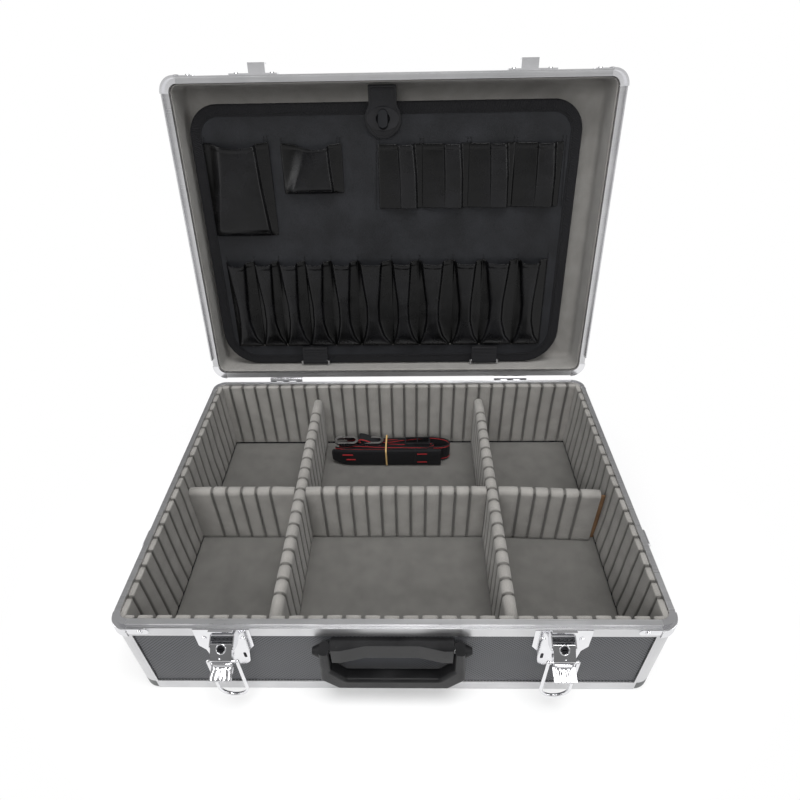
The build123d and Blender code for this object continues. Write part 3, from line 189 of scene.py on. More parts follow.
# %% Helpers for node groups
def new_group(name, inputs, outputs):
    """An empty node group with its input and output sockets."""
    group = bpy.data.node_groups.new(name, "ShaderNodeTree")
    for socket, kind, value in inputs:
        made = group.interface.new_socket(name=socket, in_out="INPUT", socket_type=kind)
        if value is not None:
            made.default_value = value
    for socket, kind in outputs:
        group.interface.new_socket(name=socket, in_out="OUTPUT", socket_type=kind)
    start = group.nodes.new("NodeGroupInput")
    end = group.nodes.new("NodeGroupOutput")
    return group, start, end


def feed(tree, socket, value):
    """Links another node's output to a socket, or sets a plain value on it."""
    if isinstance(value, bpy.types.NodeSocket):
        tree.links.new(value, socket)
    else:
        socket.default_value = value


def add(tree, kind, settings=(), **links):
    """Adds a node, sets its properties, and feeds its sockets: by name, with two
    underscores for a space, or by number as i0, i1 and so on."""
    node = tree.nodes.new(kind)
    for key, value in dict(settings).items():
        setattr(node, key, value)
    for key, value in links.items():
        wanted = key.rstrip("_").replace("__", " ")
        by_number = wanted[0] == "i" and wanted[1:].isdigit()
        feed(tree, node.inputs[int(wanted[1:]) if by_number else wanted], value)
    return node


def math_node(tree, operation, a, b=0.0, clamp=False):
    """The result of one sum on two values."""
    return add(tree, "ShaderNodeMath", {"operation": operation, "use_clamp": clamp},
               i0=a, i1=b).outputs[0]


def times(tree, a, b, clamp=False):
    """The product of two values."""
    return math_node(tree, "MULTIPLY", a, b, clamp)


def plus(tree, a, b, clamp=False):
    """The sum of two values."""
    return math_node(tree, "ADD", a, b, clamp)


def any_of(tree, a, b, c):
    """The greatest of three masks."""
    return math_node(tree, "MAXIMUM", a, math_node(tree, "MAXIMUM", b, c))


def ramp(tree, value, low, high, to_low=0.0, to_high=1.0):
    """Value carried from low..high to to_low..to_high, held at the ends."""
    return add(tree, "ShaderNodeMapRange", {"clamp": True}, Value=value,
               From__Min=low, From__Max=high, To__Min=to_low, To__Max=to_high).outputs[0]


def blend_colours(tree, factor, first, second, mode="MIX"):
    """Two colours mixed by a factor."""
    node = tree.nodes.new("ShaderNodeMix")
    node.data_type = "RGBA"
    node.blend_type = mode
    for number, value in ((0, factor), (6, first), (7, second)):
        feed(tree, node.inputs[number], value)
    return node.outputs[2]


def pick(tree, factor, when_off, when_on):
    """One of two values, by a mask."""
    return add(tree, "ShaderNodeMix", i0=factor, i2=when_off, i3=when_on).outputs[0]


def place(tree, group, **values):
    """An effect placed in a material with its own values."""
    node = tree.nodes.new("ShaderNodeGroup")
    node.node_tree = group
    for key, value in values.items():
        feed(tree, node.inputs[key.replace("__", " ")], value)
    return node


print("node helpers ready")

# %% Effect: fine grain
# Mottled noise in object space: a fine height and a slow tint that never repeats.
grain, start, end = new_group("fine grain", [
    ("Size", "NodeSocketFloat", 900.0), ("Patch", "NodeSocketFloat", 40.0),
], [("Height", "NodeSocketFloat"), ("Tint", "NodeSocketFloat")])
where = add(grain, "ShaderNodeTexCoord").outputs["Object"]
fine = add(grain, "ShaderNodeTexNoise", Vector=where, Scale=start.outputs["Size"], Detail=3.0)
slow = add(grain, "ShaderNodeTexNoise", Vector=where, Scale=start.outputs["Patch"], Detail=3.0)
grain.links.new(fine.outputs["Fac"], end.inputs["Height"])
grain.links.new(slow.outputs["Fac"], end.inputs["Tint"])
print("effect:", grain.name)

# %% Effect: worn edges
# An edge bends the bevelled normal away from the true one, and noise breaks the line up.
wear, start, end = new_group("worn edges", [
    ("Radius", "NodeSocketFloat", 0.0012), ("Amount", "NodeSocketFloat", 1.0),
], [("Mask", "NodeSocketFloat")])
rounded = add(wear, "ShaderNodeBevel", {"samples": 4}, Radius=start.outputs["Radius"])
flat = add(wear, "ShaderNodeNewGeometry").outputs["True Normal"]
alike = add(wear, "ShaderNodeVectorMath", {"operation": "DOT_PRODUCT"},
            i0=rounded.outputs[0], i1=flat).outputs["Value"]
edge = ramp(wear, alike, 0.98, 0.80)
spots = add(wear, "ShaderNodeTexNoise", Vector=add(wear, "ShaderNodeTexCoord").outputs["Object"],
            Scale=240.0, Detail=4.0).outputs["Fac"]
broken = times(wear, edge, ramp(wear, spots, 0.35, 0.65), True)
wear.links.new(times(wear, broken, start.outputs["Amount"], True), end.inputs["Mask"])
print("effect:", wear.name)

# %% Effect: drawn bands
# Rolled profiles carry faint bands along their length: noise stretched a hundredfold.
bands, start, end = new_group("drawn bands", [
    ("Along", "NodeSocketVector", (1.0, 1.0, 1.0)),
], [("Height", "NodeSocketFloat"), ("Tint", "NodeSocketFloat")])
where = add(bands, "ShaderNodeTexCoord").outputs["Object"]
stretched = add(bands, "ShaderNodeVectorMath", {"operation": "MULTIPLY"},
                i0=where, i1=start.outputs["Along"])
line = add(bands, "ShaderNodeTexNoise", Vector=stretched.outputs[0], Scale=1.0, Detail=4.0,
           Roughness=0.6)
bands.links.new(line.outputs["Fac"], end.inputs["Height"])
broad = add(bands, "ShaderNodeTexNoise", Vector=where, Scale=30.0, Detail=2.0)
bands.links.new(broad.outputs["Fac"], end.inputs["Tint"])
print("effect:", bands.name)

# %% Effect: knit
# Fine stitches in rows, from the piece's own UV in metres: two crossed sines of about
# a millimetre, roughened with noise.
knit, start, end = new_group("knit", [
    ("Pitch", "NodeSocketFloat", 1.1), ("Loose", "NodeSocketFloat", 0.35),
], [("Height", "NodeSocketFloat"), ("Tint", "NodeSocketFloat")])
flat_map = add(knit, "ShaderNodeUVMap", {"uv_map": "UVMap"}).outputs[0]
pull = math_node(knit, "DIVIDE", 6283.2, start.outputs["Pitch"])
apart = add(knit, "ShaderNodeSeparateXYZ", Vector=flat_map)
one = math_node(knit, "SINE", times(knit, apart.outputs[0], pull))
two = math_node(knit, "SINE", times(knit, apart.outputs[1], pull))
cross = times(knit, one, two)
fuzz = add(knit, "ShaderNodeTexNoise", Vector=flat_map, Scale=1500.0, Detail=3.0).outputs["Fac"]
mixed = plus(knit, times(knit, cross, 0.25), times(knit, fuzz, start.outputs["Loose"]))
knit.links.new(mixed, end.inputs["Height"])
cloudy = add(knit, "ShaderNodeTexNoise", Vector=flat_map, Scale=55.0, Detail=5.0).outputs["Fac"]
knit.links.new(cloudy, end.inputs["Tint"])
print("effect:", knit.name)

# %% Effect: leather grain
# Small raised cells with fine creases between them, as pressed into artificial leather.
hide, start, end = new_group("leather grain", [
    ("Cells", "NodeSocketFloat", 700.0),
], [("Height", "NodeSocketFloat"), ("Tint", "NodeSocketFloat")])
where = add(hide, "ShaderNodeTexCoord").outputs["Object"]
bent = add(hide, "ShaderNodeTexNoise", Vector=where, Scale=260.0, Detail=2.0)
moved = add(hide, "ShaderNodeVectorMath", {"operation": "SCALE"}, i0=bent.outputs["Color"],
            Scale=0.0016)
spot = add(hide, "ShaderNodeVectorMath", {"operation": "ADD"}, i0=where, i1=moved.outputs[0])
cell = add(hide, "ShaderNodeTexVoronoi", {"feature": "DISTANCE_TO_EDGE"}, Vector=spot.outputs[0],
           Scale=start.outputs["Cells"])
hide.links.new(ramp(hide, cell.outputs["Distance"], 0.0, 0.22), end.inputs["Height"])
slow = add(hide, "ShaderNodeTexNoise", Vector=where, Scale=35.0, Detail=4.0).outputs["Fac"]
hide.links.new(slow, end.inputs["Tint"])
print("effect:", hide.name)

# %% Effect: ribs of webbing
# Ribbed tape: ridges across the tape from its UV, with a thread noise on them.
ribs, start, end = new_group("webbing ribs", [
    ("Pitch", "NodeSocketFloat", 1.6), ("Slant", "NodeSocketFloat", 0.0),
], [("Height", "NodeSocketFloat"), ("Tint", "NodeSocketFloat")])
flat_map = add(ribs, "ShaderNodeUVMap", {"uv_map": "UVMap"}).outputs[0]
apart = add(ribs, "ShaderNodeSeparateXYZ", Vector=flat_map)
slid = plus(ribs, apart.outputs[0], times(ribs, apart.outputs[1], start.outputs["Slant"]))
pull = math_node(ribs, "DIVIDE", 6283.2, start.outputs["Pitch"])
rib = math_node(ribs, "SINE", times(ribs, slid, pull))
yarn = math_node(ribs, "SINE", times(ribs, apart.outputs[1], times(ribs, pull, 1.7)))
raised = plus(ribs, times(ribs, rib, 0.4), times(ribs, yarn, 0.15))
ribs.links.new(plus(ribs, raised, 0.5), end.inputs["Height"])
lint = add(ribs, "ShaderNodeTexNoise", Vector=flat_map, Scale=900.0, Detail=3.0).outputs["Fac"]
ribs.links.new(lint, end.inputs["Tint"])
print("effect:", ribs.name)

# %% [markdown]
# ## Materials
# Colours are linear values. Metals get their look from roughness that changes over the
# surface; plastics, leather and cloth from small heights. Every material reads object
# space or the piece's own UV, so its pattern stays put when a piece moves.

# %% Start of a material
def material(name, roughness=0.5, metallic=0.0, **plain):
    """A new material with one Principled shader; plain values go on its own sockets."""
    made = bpy.data.materials.new(name)
    made.use_nodes = True
    tree = made.node_tree
    tree.nodes.clear()
    shader = tree.nodes.new("ShaderNodeBsdfPrincipled")
    shader.inputs["Roughness"].default_value = roughness
    shader.inputs["Metallic"].default_value = metallic
    for key, value in plain.items():
        shader.inputs[key.replace("_", " ")].default_value = value
    output = tree.nodes.new("ShaderNodeOutputMaterial")
    tree.links.new(shader.outputs[0], output.inputs["Surface"])
    return made, tree, shader


def colour(tree, shader, factor, dark, light):
    """Base colour that moves between two tones."""
    blended = blend_colours(tree, factor, (*dark, 1.0), (*light, 1.0))
    tree.links.new(blended, shader.inputs["Base Color"])


def relief(tree, shader, height, depth, strength=1.0):
    """Bumps of a stated depth in metres."""
    bump = add(tree, "ShaderNodeBump", Height=height, Strength=strength, Distance=depth)
    tree.links.new(bump.outputs[0], shader.inputs["Normal"])
    return bump

# %% Satin aluminium
# Anodised profiles: pale and soft, with fine bands along X on the long sides. Handling
# brightens the edges and the slow tint keeps the faces from looking printed.
def aluminium(name, along):
    """Satin profile whose bands are stretched by the scale of each axis in along."""
    made, tree, shader = material(name, metallic=1.0)
    drawn = place(tree, bands, Along=along)
    worn = place(tree, wear, Radius=0.0010, Amount=0.7)
    tone = plus(tree, times(tree, drawn.outputs["Height"], 0.5),
                times(tree, drawn.outputs["Tint"], 0.5))
    base = blend_colours(tree, tone, (0.42, 0.42, 0.43, 1), (0.80, 0.80, 0.81, 1))
    bright = blend_colours(tree, worn.outputs["Mask"], base, (0.88, 0.88, 0.89, 1))
    tree.links.new(bright, shader.inputs["Base Color"])
    rough = ramp(tree, drawn.outputs["Height"], 0.3, 0.7, 0.26, 0.42)
    polished = math_node(tree, "SUBTRACT", rough, times(tree, worn.outputs["Mask"], 0.12))
    tree.links.new(polished, shader.inputs["Roughness"])
    relief(tree, shader, drawn.outputs["Height"], 0.00006)
    return made


aluminium_across = aluminium("satin_aluminium", (6.0, 1800.0, 1800.0))
aluminium_upright = aluminium("satin_aluminium_posts", (1800.0, 1800.0, 6.0))
print("made", aluminium_across.name, aluminium_upright.name)

# %% Chrome and steel
def plated(name, tone, low, high):
    """Bright plated metal: almost a mirror, slightly hazed by fine scratches."""
    made, tree, shader = material(name, metallic=1.0)
    dust = place(tree, grain, Size=1500.0, Patch=90.0)
    worn = place(tree, wear, Radius=0.0008, Amount=0.5)
    colour(tree, shader, dust.outputs["Tint"], [t * 0.86 for t in tone], tone)
    haze = ramp(tree, dust.outputs["Tint"], 0.35, 0.7, low, high)
    dull = plus(tree, haze, times(tree, worn.outputs["Mask"], 0.08))
    tree.links.new(dull, shader.inputs["Roughness"])
    relief(tree, shader, dust.outputs["Height"], 0.00002)
    return made


chrome = plated("chrome", (0.84, 0.84, 0.86), 0.05, 0.16)
steel = plated("steel_rod", (0.62, 0.62, 0.63), 0.2, 0.35)
hook_metal = plated("hook_metal", (0.70, 0.70, 0.72), 0.15, 0.3)
# The lock barrel's dark tone stands for its dark ring and the shaded key slot: partly painted
# shade.
lock_metal_partly_painted_shade = plated("lock_metal_partly_painted_shade", (0.10, 0.10, 0.11), 0.2, 0.35)
print("made", chrome.name, steel.name, hook_metal.name, lock_metal_partly_painted_shade.name)

# %% Dark panel with a fine staggered pattern
# The boards are faced with dark grey sheet pressed with rows of small round dimples,
# every second row moved by half a step. The same rule gives the dimples on any wall:
# the two largest coordinates of the face are picked by its normal.
panel, tree, shader = material("patterned_panel", Specular_IOR_Level=0.3)
geometry = add(tree, "ShaderNodeNewGeometry")
where = add(tree, "ShaderNodeTexCoord").outputs["Object"]
lies = add(tree, "ShaderNodeSeparateXYZ", Vector=where)
turned = add(tree, "ShaderNodeVectorMath", {"operation": "ABSOLUTE"},
             i0=geometry.outputs["True Normal"])
facing = add(tree, "ShaderNodeSeparateXYZ", Vector=turned.outputs[0])
is_side = math_node(tree, "GREATER_THAN", facing.outputs[0], 0.7)
is_flat = math_node(tree, "GREATER_THAN", facing.outputs[2], 0.7)
across = pick(tree, is_side, lies.outputs[0], lies.outputs[1])
upward = pick(tree, is_flat, lies.outputs[2], lies.outputs[1])
STEP = 0.0034
row = math_node(tree, "DIVIDE", upward, STEP * 0.5)
line = math_node(tree, "FLOOR", row)
odd = times(tree, math_node(tree, "FLOORED_MODULO", line, 2.0), 0.5)
column = plus(tree, math_node(tree, "DIVIDE", across, STEP), odd)
spot_x = math_node(tree, "SUBTRACT", math_node(tree, "FRACT", column), 0.5)
spot_y = times(tree, math_node(tree, "SUBTRACT", math_node(tree, "FRACT", row), 0.5), 0.5)
away = math_node(tree, "SQRT", plus(tree, times(tree, spot_x, spot_x), times(tree, spot_y, spot_y)))
dimple = ramp(tree, away, 0.15, 0.28)
cloud = place(tree, grain, Size=1200.0, Patch=25.0)
tone = times(tree, dimple, ramp(tree, cloud.outputs["Tint"], 0.3, 0.7, 0.8, 1.0))
colour(tree, shader, tone, (0.006, 0.006, 0.007), (0.092, 0.095, 0.104))
tree.links.new(ramp(tree, cloud.outputs["Tint"], 0.3, 0.7, 0.36, 0.5), shader.inputs["Roughness"])
relief(tree, shader, dimple, 0.00015, 0.7)
print("made", panel.name, "with a step of", STEP, "m")

# %% Moulded plastics
def moulded(name, dark, light, low, high, cells, depth):
    """Moulded plastic: fine spark-eroded grain, duller where it was handled."""
    made, tree, shader = material(name, Specular_IOR_Level=0.16)
    skin_grain = place(tree, grain, Size=cells, Patch=40.0)
    worn = place(tree, wear, Radius=0.0012, Amount=0.35)
    tone = plus(tree, ramp(tree, skin_grain.outputs["Tint"], 0.3, 0.7, 0.0, 0.6),
                times(tree, worn.outputs["Mask"], 0.8), True)
    colour(tree, shader, tone, dark, light)
    rough = ramp(tree, skin_grain.outputs["Tint"], 0.3, 0.7, low, high)
    tree.links.new(rough, shader.inputs["Roughness"])
    relief(tree, shader, skin_grain.outputs["Height"], depth)
    return made


handle_plastic = moulded(
    "handle_plastic", (0.006, 0.006, 0.0065), (0.020, 0.020, 0.021), 0.30, 0.48, 1300.0, 0.00016)
bracket_plastic = moulded(
    "bracket_plastic", (0.008, 0.008, 0.0085), (0.026, 0.026, 0.027), 0.14, 0.28, 900.0, 0.00002)
black_plastic = moulded(
    "glossy_black_plastic", (0.010, 0.010, 0.011), (0.028, 0.028, 0.031),
    0.12, 0.26, 1200.0, 0.00003)
knob_plastic = moulded(
    "dark_grey_plastic", (0.012, 0.0125, 0.014), (0.030, 0.031, 0.035), 0.28, 0.42, 1400.0, 0.00005)
corner_plastic = moulded(
    "grey_corner_plastic", (0.10, 0.105, 0.105), (0.19, 0.195, 0.195), 0.4, 0.55, 1400.0, 0.00006)
print("made five plastics")

# %% Knitted cloth over foam
# A short-haired beige-grey knit bonded to the foam. Sheen lifts the slopes a little and
# dirt-like clouds of tint, a few centimetres wide, follow the way the cloth was glued.
def cloth(name, dark, light, depth=0.00022, size=1.1):
    """Knitted cloth of a stitch size in mm, with painted shade: darker where the groove attribute
    is high.
    """
    made, tree, shader = material(name, roughness=0.9, Sheen_Weight=0.15, Sheen_Roughness=0.5)
    weave = place(tree, knit, Pitch=size, Loose=0.6)
    lint = plus(tree, times(tree, weave.outputs["Height"], 0.85),
                ramp(tree, weave.outputs["Tint"], 0.3, 0.7, 0.0, 0.14), True)
    # painted shade: the groove attribute darkens the cloth in the grooves
    painted_shade = add(tree, "ShaderNodeAttribute", {"attribute_name": "groove"}).outputs["Fac"]
    tone = math_node(tree, "SUBTRACT", lint, times(tree, painted_shade, 1.3), True)
    colour(tree, shader, tone, dark, light)
    relief(tree, shader, weave.outputs["Height"], depth)
    return made


foam_cloth = cloth("knitted_foam_cloth", (0.135, 0.130, 0.121), (0.608, 0.587, 0.556))
lid_cloth = cloth("lid_cloth", (0.13, 0.125, 0.118), (0.50, 0.486, 0.462), 0.00016, 0.9)
# painted shade: the same cloth as the walls, in darker tones because the floor of the case lies in
# shade
floor_cloth_painted_shade = cloth("floor_cloth_painted_shade", (0.072, 0.070, 0.065), (0.282, 0.274, 0.258))
print("made", foam_cloth.name, lid_cloth.name, floor_cloth_painted_shade.name)

# %% Brown fibre core
core_board, tree, shader = material("brown_fibre_core", roughness=0.85)
fibre = place(tree, grain, Size=700.0, Patch=120.0)
colour(tree, shader, fibre.outputs["Tint"], (0.10, 0.055, 0.028), (0.24, 0.14, 0.075))
relief(tree, shader, fibre.outputs["Height"], 0.0001)
print("made", core_board.name)

# %% Artificial leather
def leather(name, dark, light, low, high, cells=900.0, depth=0.00007):
    """Artificial leather: pressed cells, a soft gloss, a slow change of tone, and painted shade
    where the groove attribute is high.
    """
    made, tree, shader = material(name, Specular_IOR_Level=0.25)
    skin_grain = place(tree, hide, Cells=cells)
    height = skin_grain.outputs["Height"]
    grained = plus(tree, skin_grain.outputs["Tint"], times(tree, height, 0.35))
    tone = ramp(tree, grained, 0.45, 1.0)
    # painted shade: the groove attribute darkens the leather between the pockets' folds
    painted_shade = add(tree, "ShaderNodeAttribute", {"attribute_name": "groove"}).outputs["Fac"]
    tone = math_node(tree, "SUBTRACT", tone, painted_shade, True)
    colour(tree, shader, tone, dark, light)
    rough = ramp(tree, skin_grain.outputs["Tint"], 0.3, 0.7, low, high)
    tree.links.new(rough, shader.inputs["Roughness"])
    relief(tree, shader, skin_grain.outputs["Height"], depth)
    return made


board_leather = leather(
    "leatherette_board", (0.007, 0.0073, 0.0085), (0.019, 0.0198, 0.023), 0.46, 0.6)
pocket_leather = leather(
    "leatherette_pockets", (0.0006, 0.0006, 0.0007), (0.0075, 0.0075, 0.0088),
    0.2, 0.32, 700.0, 0.00003)
strap_leather = leather(
    "leatherette_strap", (0.004, 0.004, 0.0046), (0.012, 0.012, 0.014), 0.28, 0.44)
print("made", board_leather.name, pocket_leather.name)

# %% Webbing, thread and rubber
def tape(name, dark, light, pitch, slant, depth, rough):
    """Woven tape: ribs from the UV, lint in the valleys."""
    made, tree, shader = material(
        name, roughness=rough, Sheen_Weight=0.05, Sheen_Roughness=0.4, Specular_IOR_Level=0.2)
    woven = place(tree, ribs, Pitch=pitch, Slant=slant)
    tone = plus(tree, times(tree, woven.outputs["Height"], 0.6),
                times(tree, woven.outputs["Tint"], 0.5), True)
    colour(tree, shader, tone, dark, light)
    relief(tree, shader, woven.outputs["Height"], depth)
    return made


binding_tape = tape(
    "binding_webbing", (0.0025, 0.0025, 0.003), (0.015, 0.015, 0.017), 1.7, 0.35, 0.0004, 0.7)
black_webbing = tape(
    "strap_webbing", (0.003, 0.003, 0.0035), (0.020, 0.020, 0.022), 1.8, 0.0, 0.0003, 0.75)
red_edge = tape("red_edge_tape", (0.16, 0.010, 0.012), (0.48, 0.030, 0.035), 1.6, 0.5, 0.0002, 0.65)
pad_cloth = tape("pad_cloth", (0.004, 0.004, 0.0045), (0.016, 0.016, 0.018), 1.2, 0.2, 0.0002, 0.8)
thread = tape(
    "stitching_thread", (0.001, 0.001, 0.0012), (0.006, 0.006, 0.007), 0.5, 0.8, 0.0001, 0.6)
frayed = tape("frayed_thread", (0.12, 0.115, 0.105), (0.33, 0.32, 0.30), 0.6, 0.3, 0.0001, 0.8)
rubber, tree, shader = material("tan_rubber", roughness=0.45)
stretchy = place(tree, grain, Size=500.0, Patch=160.0)
colour(tree, shader, stretchy.outputs["Tint"], (0.42, 0.27, 0.10), (0.66, 0.45, 0.20))
relief(tree, shader, stretchy.outputs["Height"], 0.00005)
print("made webbing, thread and rubber")

# %% Finishes of the nodes
FINISHES = {
    aluminium_across: ["base_edge_frame", "base_rim", "lid_edge_frame", "lid_rim"],
    aluminium_upright: ["base_corner_posts", "lid_corner_posts"],
    chrome: ["base_rim_caps", "lid_rim_caps", "latch_plates", "latch_pins", "latch_lever_left",
             "latch_lever_right", "latch_bail_left",
             "latch_bail_right", "latch_hooks", "ring_anchors", "carry_ring_left",
             "carry_ring_right", "hinge_base_leaves", "hinge_pins", "hinge_lid_leaves",
             "base_rivets", "lid_rivets"],
    panel: ["base_bottom_panel", "base_long_panels", "base_side_panels", "lid_panel",
            "lid_long_panels", "lid_side_panels"],
    corner_plastic: ["base_corner_feet", "lid_corner_feet"],
    handle_plastic: ["handle_grip"],
    bracket_plastic: ["handle_bracket"],
    steel: ["handle_pins", "pallet_rods"],
    lock_metal_partly_painted_shade: ["latch_lock_left", "latch_lock_right"],
    board_leather: ["pallet_board"],
    knob_plastic: ["turn_knob"],
    black_plastic: ["strap_eyelet", "knob_plate", "strap_slider"],
    hook_metal: ["snap_hooks"],
}
for finish, nodes in FINISHES.items():
    for node in nodes:
        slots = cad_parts[node].material_slots
        for place_of in slots:
            place_of.material = finish
print("finished", sum(len(v) for v in FINISHES.values()), "nodes")

# %% [markdown]
# ## Grooved foam
# The walls and the dividers are foam covered with knitted cloth. A hot blade pressed
# narrow grooves into them at an even step, and the cloth rolls softly into each groove.
# A flat wall with a bump map would show no notches along its top edge, so the grooves
# are real: the cross-section is carried along the wall and pushed in at each groove.

# %% Cross-sections carried along a line
GROOVE_STEP = 15.5


def groove_depth(distance, width=1.2, depth=3.2):
    """How far the cloth is pushed in at a distance from the nearest groove: a flat-bottomed
    bell depth * exp(-(d / width)^4) plus a shallow roll 0.1 * depth * exp(-(d / 3.2)^2)."""
    return depth * (np.exp(-np.abs(distance / width) ** 4) + 0.1 * np.exp(-(distance / 3.2) ** 2))


def stations(low, high, grooves):
    """Places along a wall: close together at each groove, wide apart between them."""
    near = np.array([-6, -4, -2.7, -1.8, -1.35, -0.95, -0.5, 0, 0.5, 0.95, 1.35, 1.8, 2.7, 4, 6])
    spots = (np.asarray(grooves)[:, None] + near[None]).ravel()
    spots = np.concatenate([[low, low + 0.6, high - 0.6, high], spots])
    return np.unique(np.clip(spots, low, high).round(3))


def nearest(spots, grooves):
    """Distance from each place to the nearest groove."""
    apart = spots[:, None] - np.asarray(grooves)[None]
    return apart[np.arange(len(spots)), np.abs(apart).argmin(1)]


def rounded_outline(corners, radii, steps=5):
    """Closed outline with rounded corners: each corner is an arc of its own radius, given
    as the quadratic curve (1-t)^2 a + 2 t (1-t) corner + t^2 b between its ends a and b."""
    corners = np.asarray(corners, float)
    radii = np.broadcast_to(radii, len(corners))[:, None]
    before = np.roll(corners, 1, axis=0) - corners
    after = np.roll(corners, -1, axis=0) - corners
    a = corners + before / np.linalg.norm(before, axis=1, keepdims=True) * radii
    b = corners + after / np.linalg.norm(after, axis=1, keepdims=True) * radii
    t = np.linspace(0, 1, steps)[None, :, None]
    arcs = (1 - t) ** 2 * a[:, None] + 2 * t * (1 - t) * corners[:, None] + t ** 2 * b[:, None]
    return np.concatenate([arcs.reshape(-1, 2), arcs[0, :1]])


def resampled(outline, spacing):
    """The same outline with a point at least every so many millimetres."""
    steps = np.linalg.norm(np.diff(outline, axis=0), axis=1)
    kept = np.concatenate([[True], steps > 1e-6])
    outline = outline[kept]
    steps = np.linalg.norm(np.diff(outline, axis=0), axis=1)
    at = np.concatenate([[0], np.cumsum(steps)])
    extra = [np.linspace(a, b, max(2, int(math.ceil((b - a) / spacing)) + 1))[:-1]
             for a, b in zip(at[:-1], at[1:])]
    want = np.concatenate(extra + [[at[-1]]])
    return np.stack([np.interp(want, at, outline[:, 0]), np.interp(want, at, outline[:, 1])], -1)


def outline_normals(outline):
    """Unit normals that point out of a closed outline drawn anticlockwise."""
    ring = outline[:-1]
    tangent = np.roll(ring, -1, axis=0) - np.roll(ring, 1, axis=0)
    normal = np.stack([tangent[:, 1], -tangent[:, 0]], -1)
    normal /= np.maximum(np.linalg.norm(normal, axis=1, keepdims=True), 1e-9)
    return np.concatenate([normal, normal[:1]])


print("groove depth at its middle:", float(groove_depth(np.array(0.0)).round(2)), "mm")

# %% Padded wall with grooves
WALL_BACK, WALL_FACE, WALL_FOOT, WALL_TOP = 0.05, 4.95, 11.2, 103.2


def grooved_wall(name, low, high, grooves, place_point, seed, slump=2.2):
    """One wall pad, 5 mm thick. The cross-section (s inwards, z up) is a rounded slab from
    z 11 to 103; along t it is pushed in by groove_depth on its inner face and its top.
    Waves of about a millimetre and a slump that grows towards the floor soften it."""
    slab = [(WALL_BACK, WALL_FOOT), (WALL_FACE, WALL_FOOT), (WALL_FACE, WALL_TOP),
            (WALL_BACK, WALL_TOP)]
    outline = rounded_outline(slab, [1.2, 1.5, 1.4, 0.8])
    outline = resampled(outline, 4.0)
    normal = outline_normals(outline)
    t = stations(low, high, grooves)
    s, z = outline[:, 0][None], outline[:, 1][None]
    inner = np.clip((s - 0.8) / 2.0, 0, 1) * np.clip((z - 11.0) / 3.0, 0, 1)
    top = np.clip((z - 101.2) / 2.0, 0, 1) * np.clip((s + 0.6) / 1.2, 0, 1)
    amount = np.maximum(inner, top * 0.85)
    push = groove_depth(nearest(t, grooves))[:, None] * amount
    lean = np.clip((60.0 - z) / 49.0, 0, 1) ** 1.5
    wander = waves(t[:, None], z * 1.3, seed, 95.0) * 0.8 * inner
    swell = slump * lean * inner * (0.55 + 0.45 * waves(t[:, None], z * 0 + seed, seed + 1, 160.0))
    settle = waves(t[:, None], z * 0, seed + 2, 70.0, 2) * 0.6 * np.clip((z - 95.0) / 8.0, 0, 1)
    s_all = s - normal[None, :, 0] * push + wander + swell
    z_all = z - normal[None, :, 1] * push * 0.9 + settle - 0.3 * np.clip((z - 95.0) / 8.0, 0, 1)
    grid = place_point(np.broadcast_to(t[:, None], s_all.shape), np.maximum(s_all, 0.03), z_all)
    # painted shade: the deeper a point lies in a groove, the darker its cloth
    shade = np.pad(np.clip(push / 3.2, 0, 1), ((2, 2), (0, 0)), "edge")
    made = surface(name, ends_closed(grid, 2), shade=shade)
    made.data.materials.append(foam_cloth)
    return made


HALF_X, HALF_Y = 223.6, 158.6           # the shell's inner faces, from the middle
column_grooves = (np.arange(28) - 13.5) * GROOVE_STEP
row_grooves = 2.0 + np.arange(-9, 10) * GROOVE_STEP
walls = [
    grooved_wall("foam_wall_front", -218.5, 218.5, column_grooves,
                 lambda t, s, z: np.stack([t, -HALF_Y + s, z], -1), 11, 1.4),
    grooved_wall("foam_wall_back", -218.5, 218.5, column_grooves,
                 lambda t, s, z: np.stack([t, HALF_Y - s, z], -1), 12, 0.8),
    grooved_wall("foam_wall_left", -158.4, 158.4, row_grooves,
                 lambda t, s, z: np.stack([-HALF_X + s, t, z], -1), 13, 3.0),
    grooved_wall("foam_wall_right", -158.4, 158.4, row_grooves,
                 lambda t, s, z: np.stack([HALF_X - s, t, z], -1), 14, 3.0),
]
for wall in walls:
    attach(wall, "base")
    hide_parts("base_wall_liner")
print("walls:", [len(w.data.polygons) for w in walls], "faces")

# %% [markdown]
# ## Dividers
# Two long dividers run from front to back and three short ones cross between them. Each
# is a stiff core in foam and cloth, rounded over the top, grooved on both faces, with
# the grooves running shallower over the crown. The right-hand short one hangs a little
# askew and shows the bare brown core at its outer end.

# %% Dividers
DIVIDER_LOW, DIVIDER_TOP, DIVIDER_HALF = 11.4, 85.0, 5.75


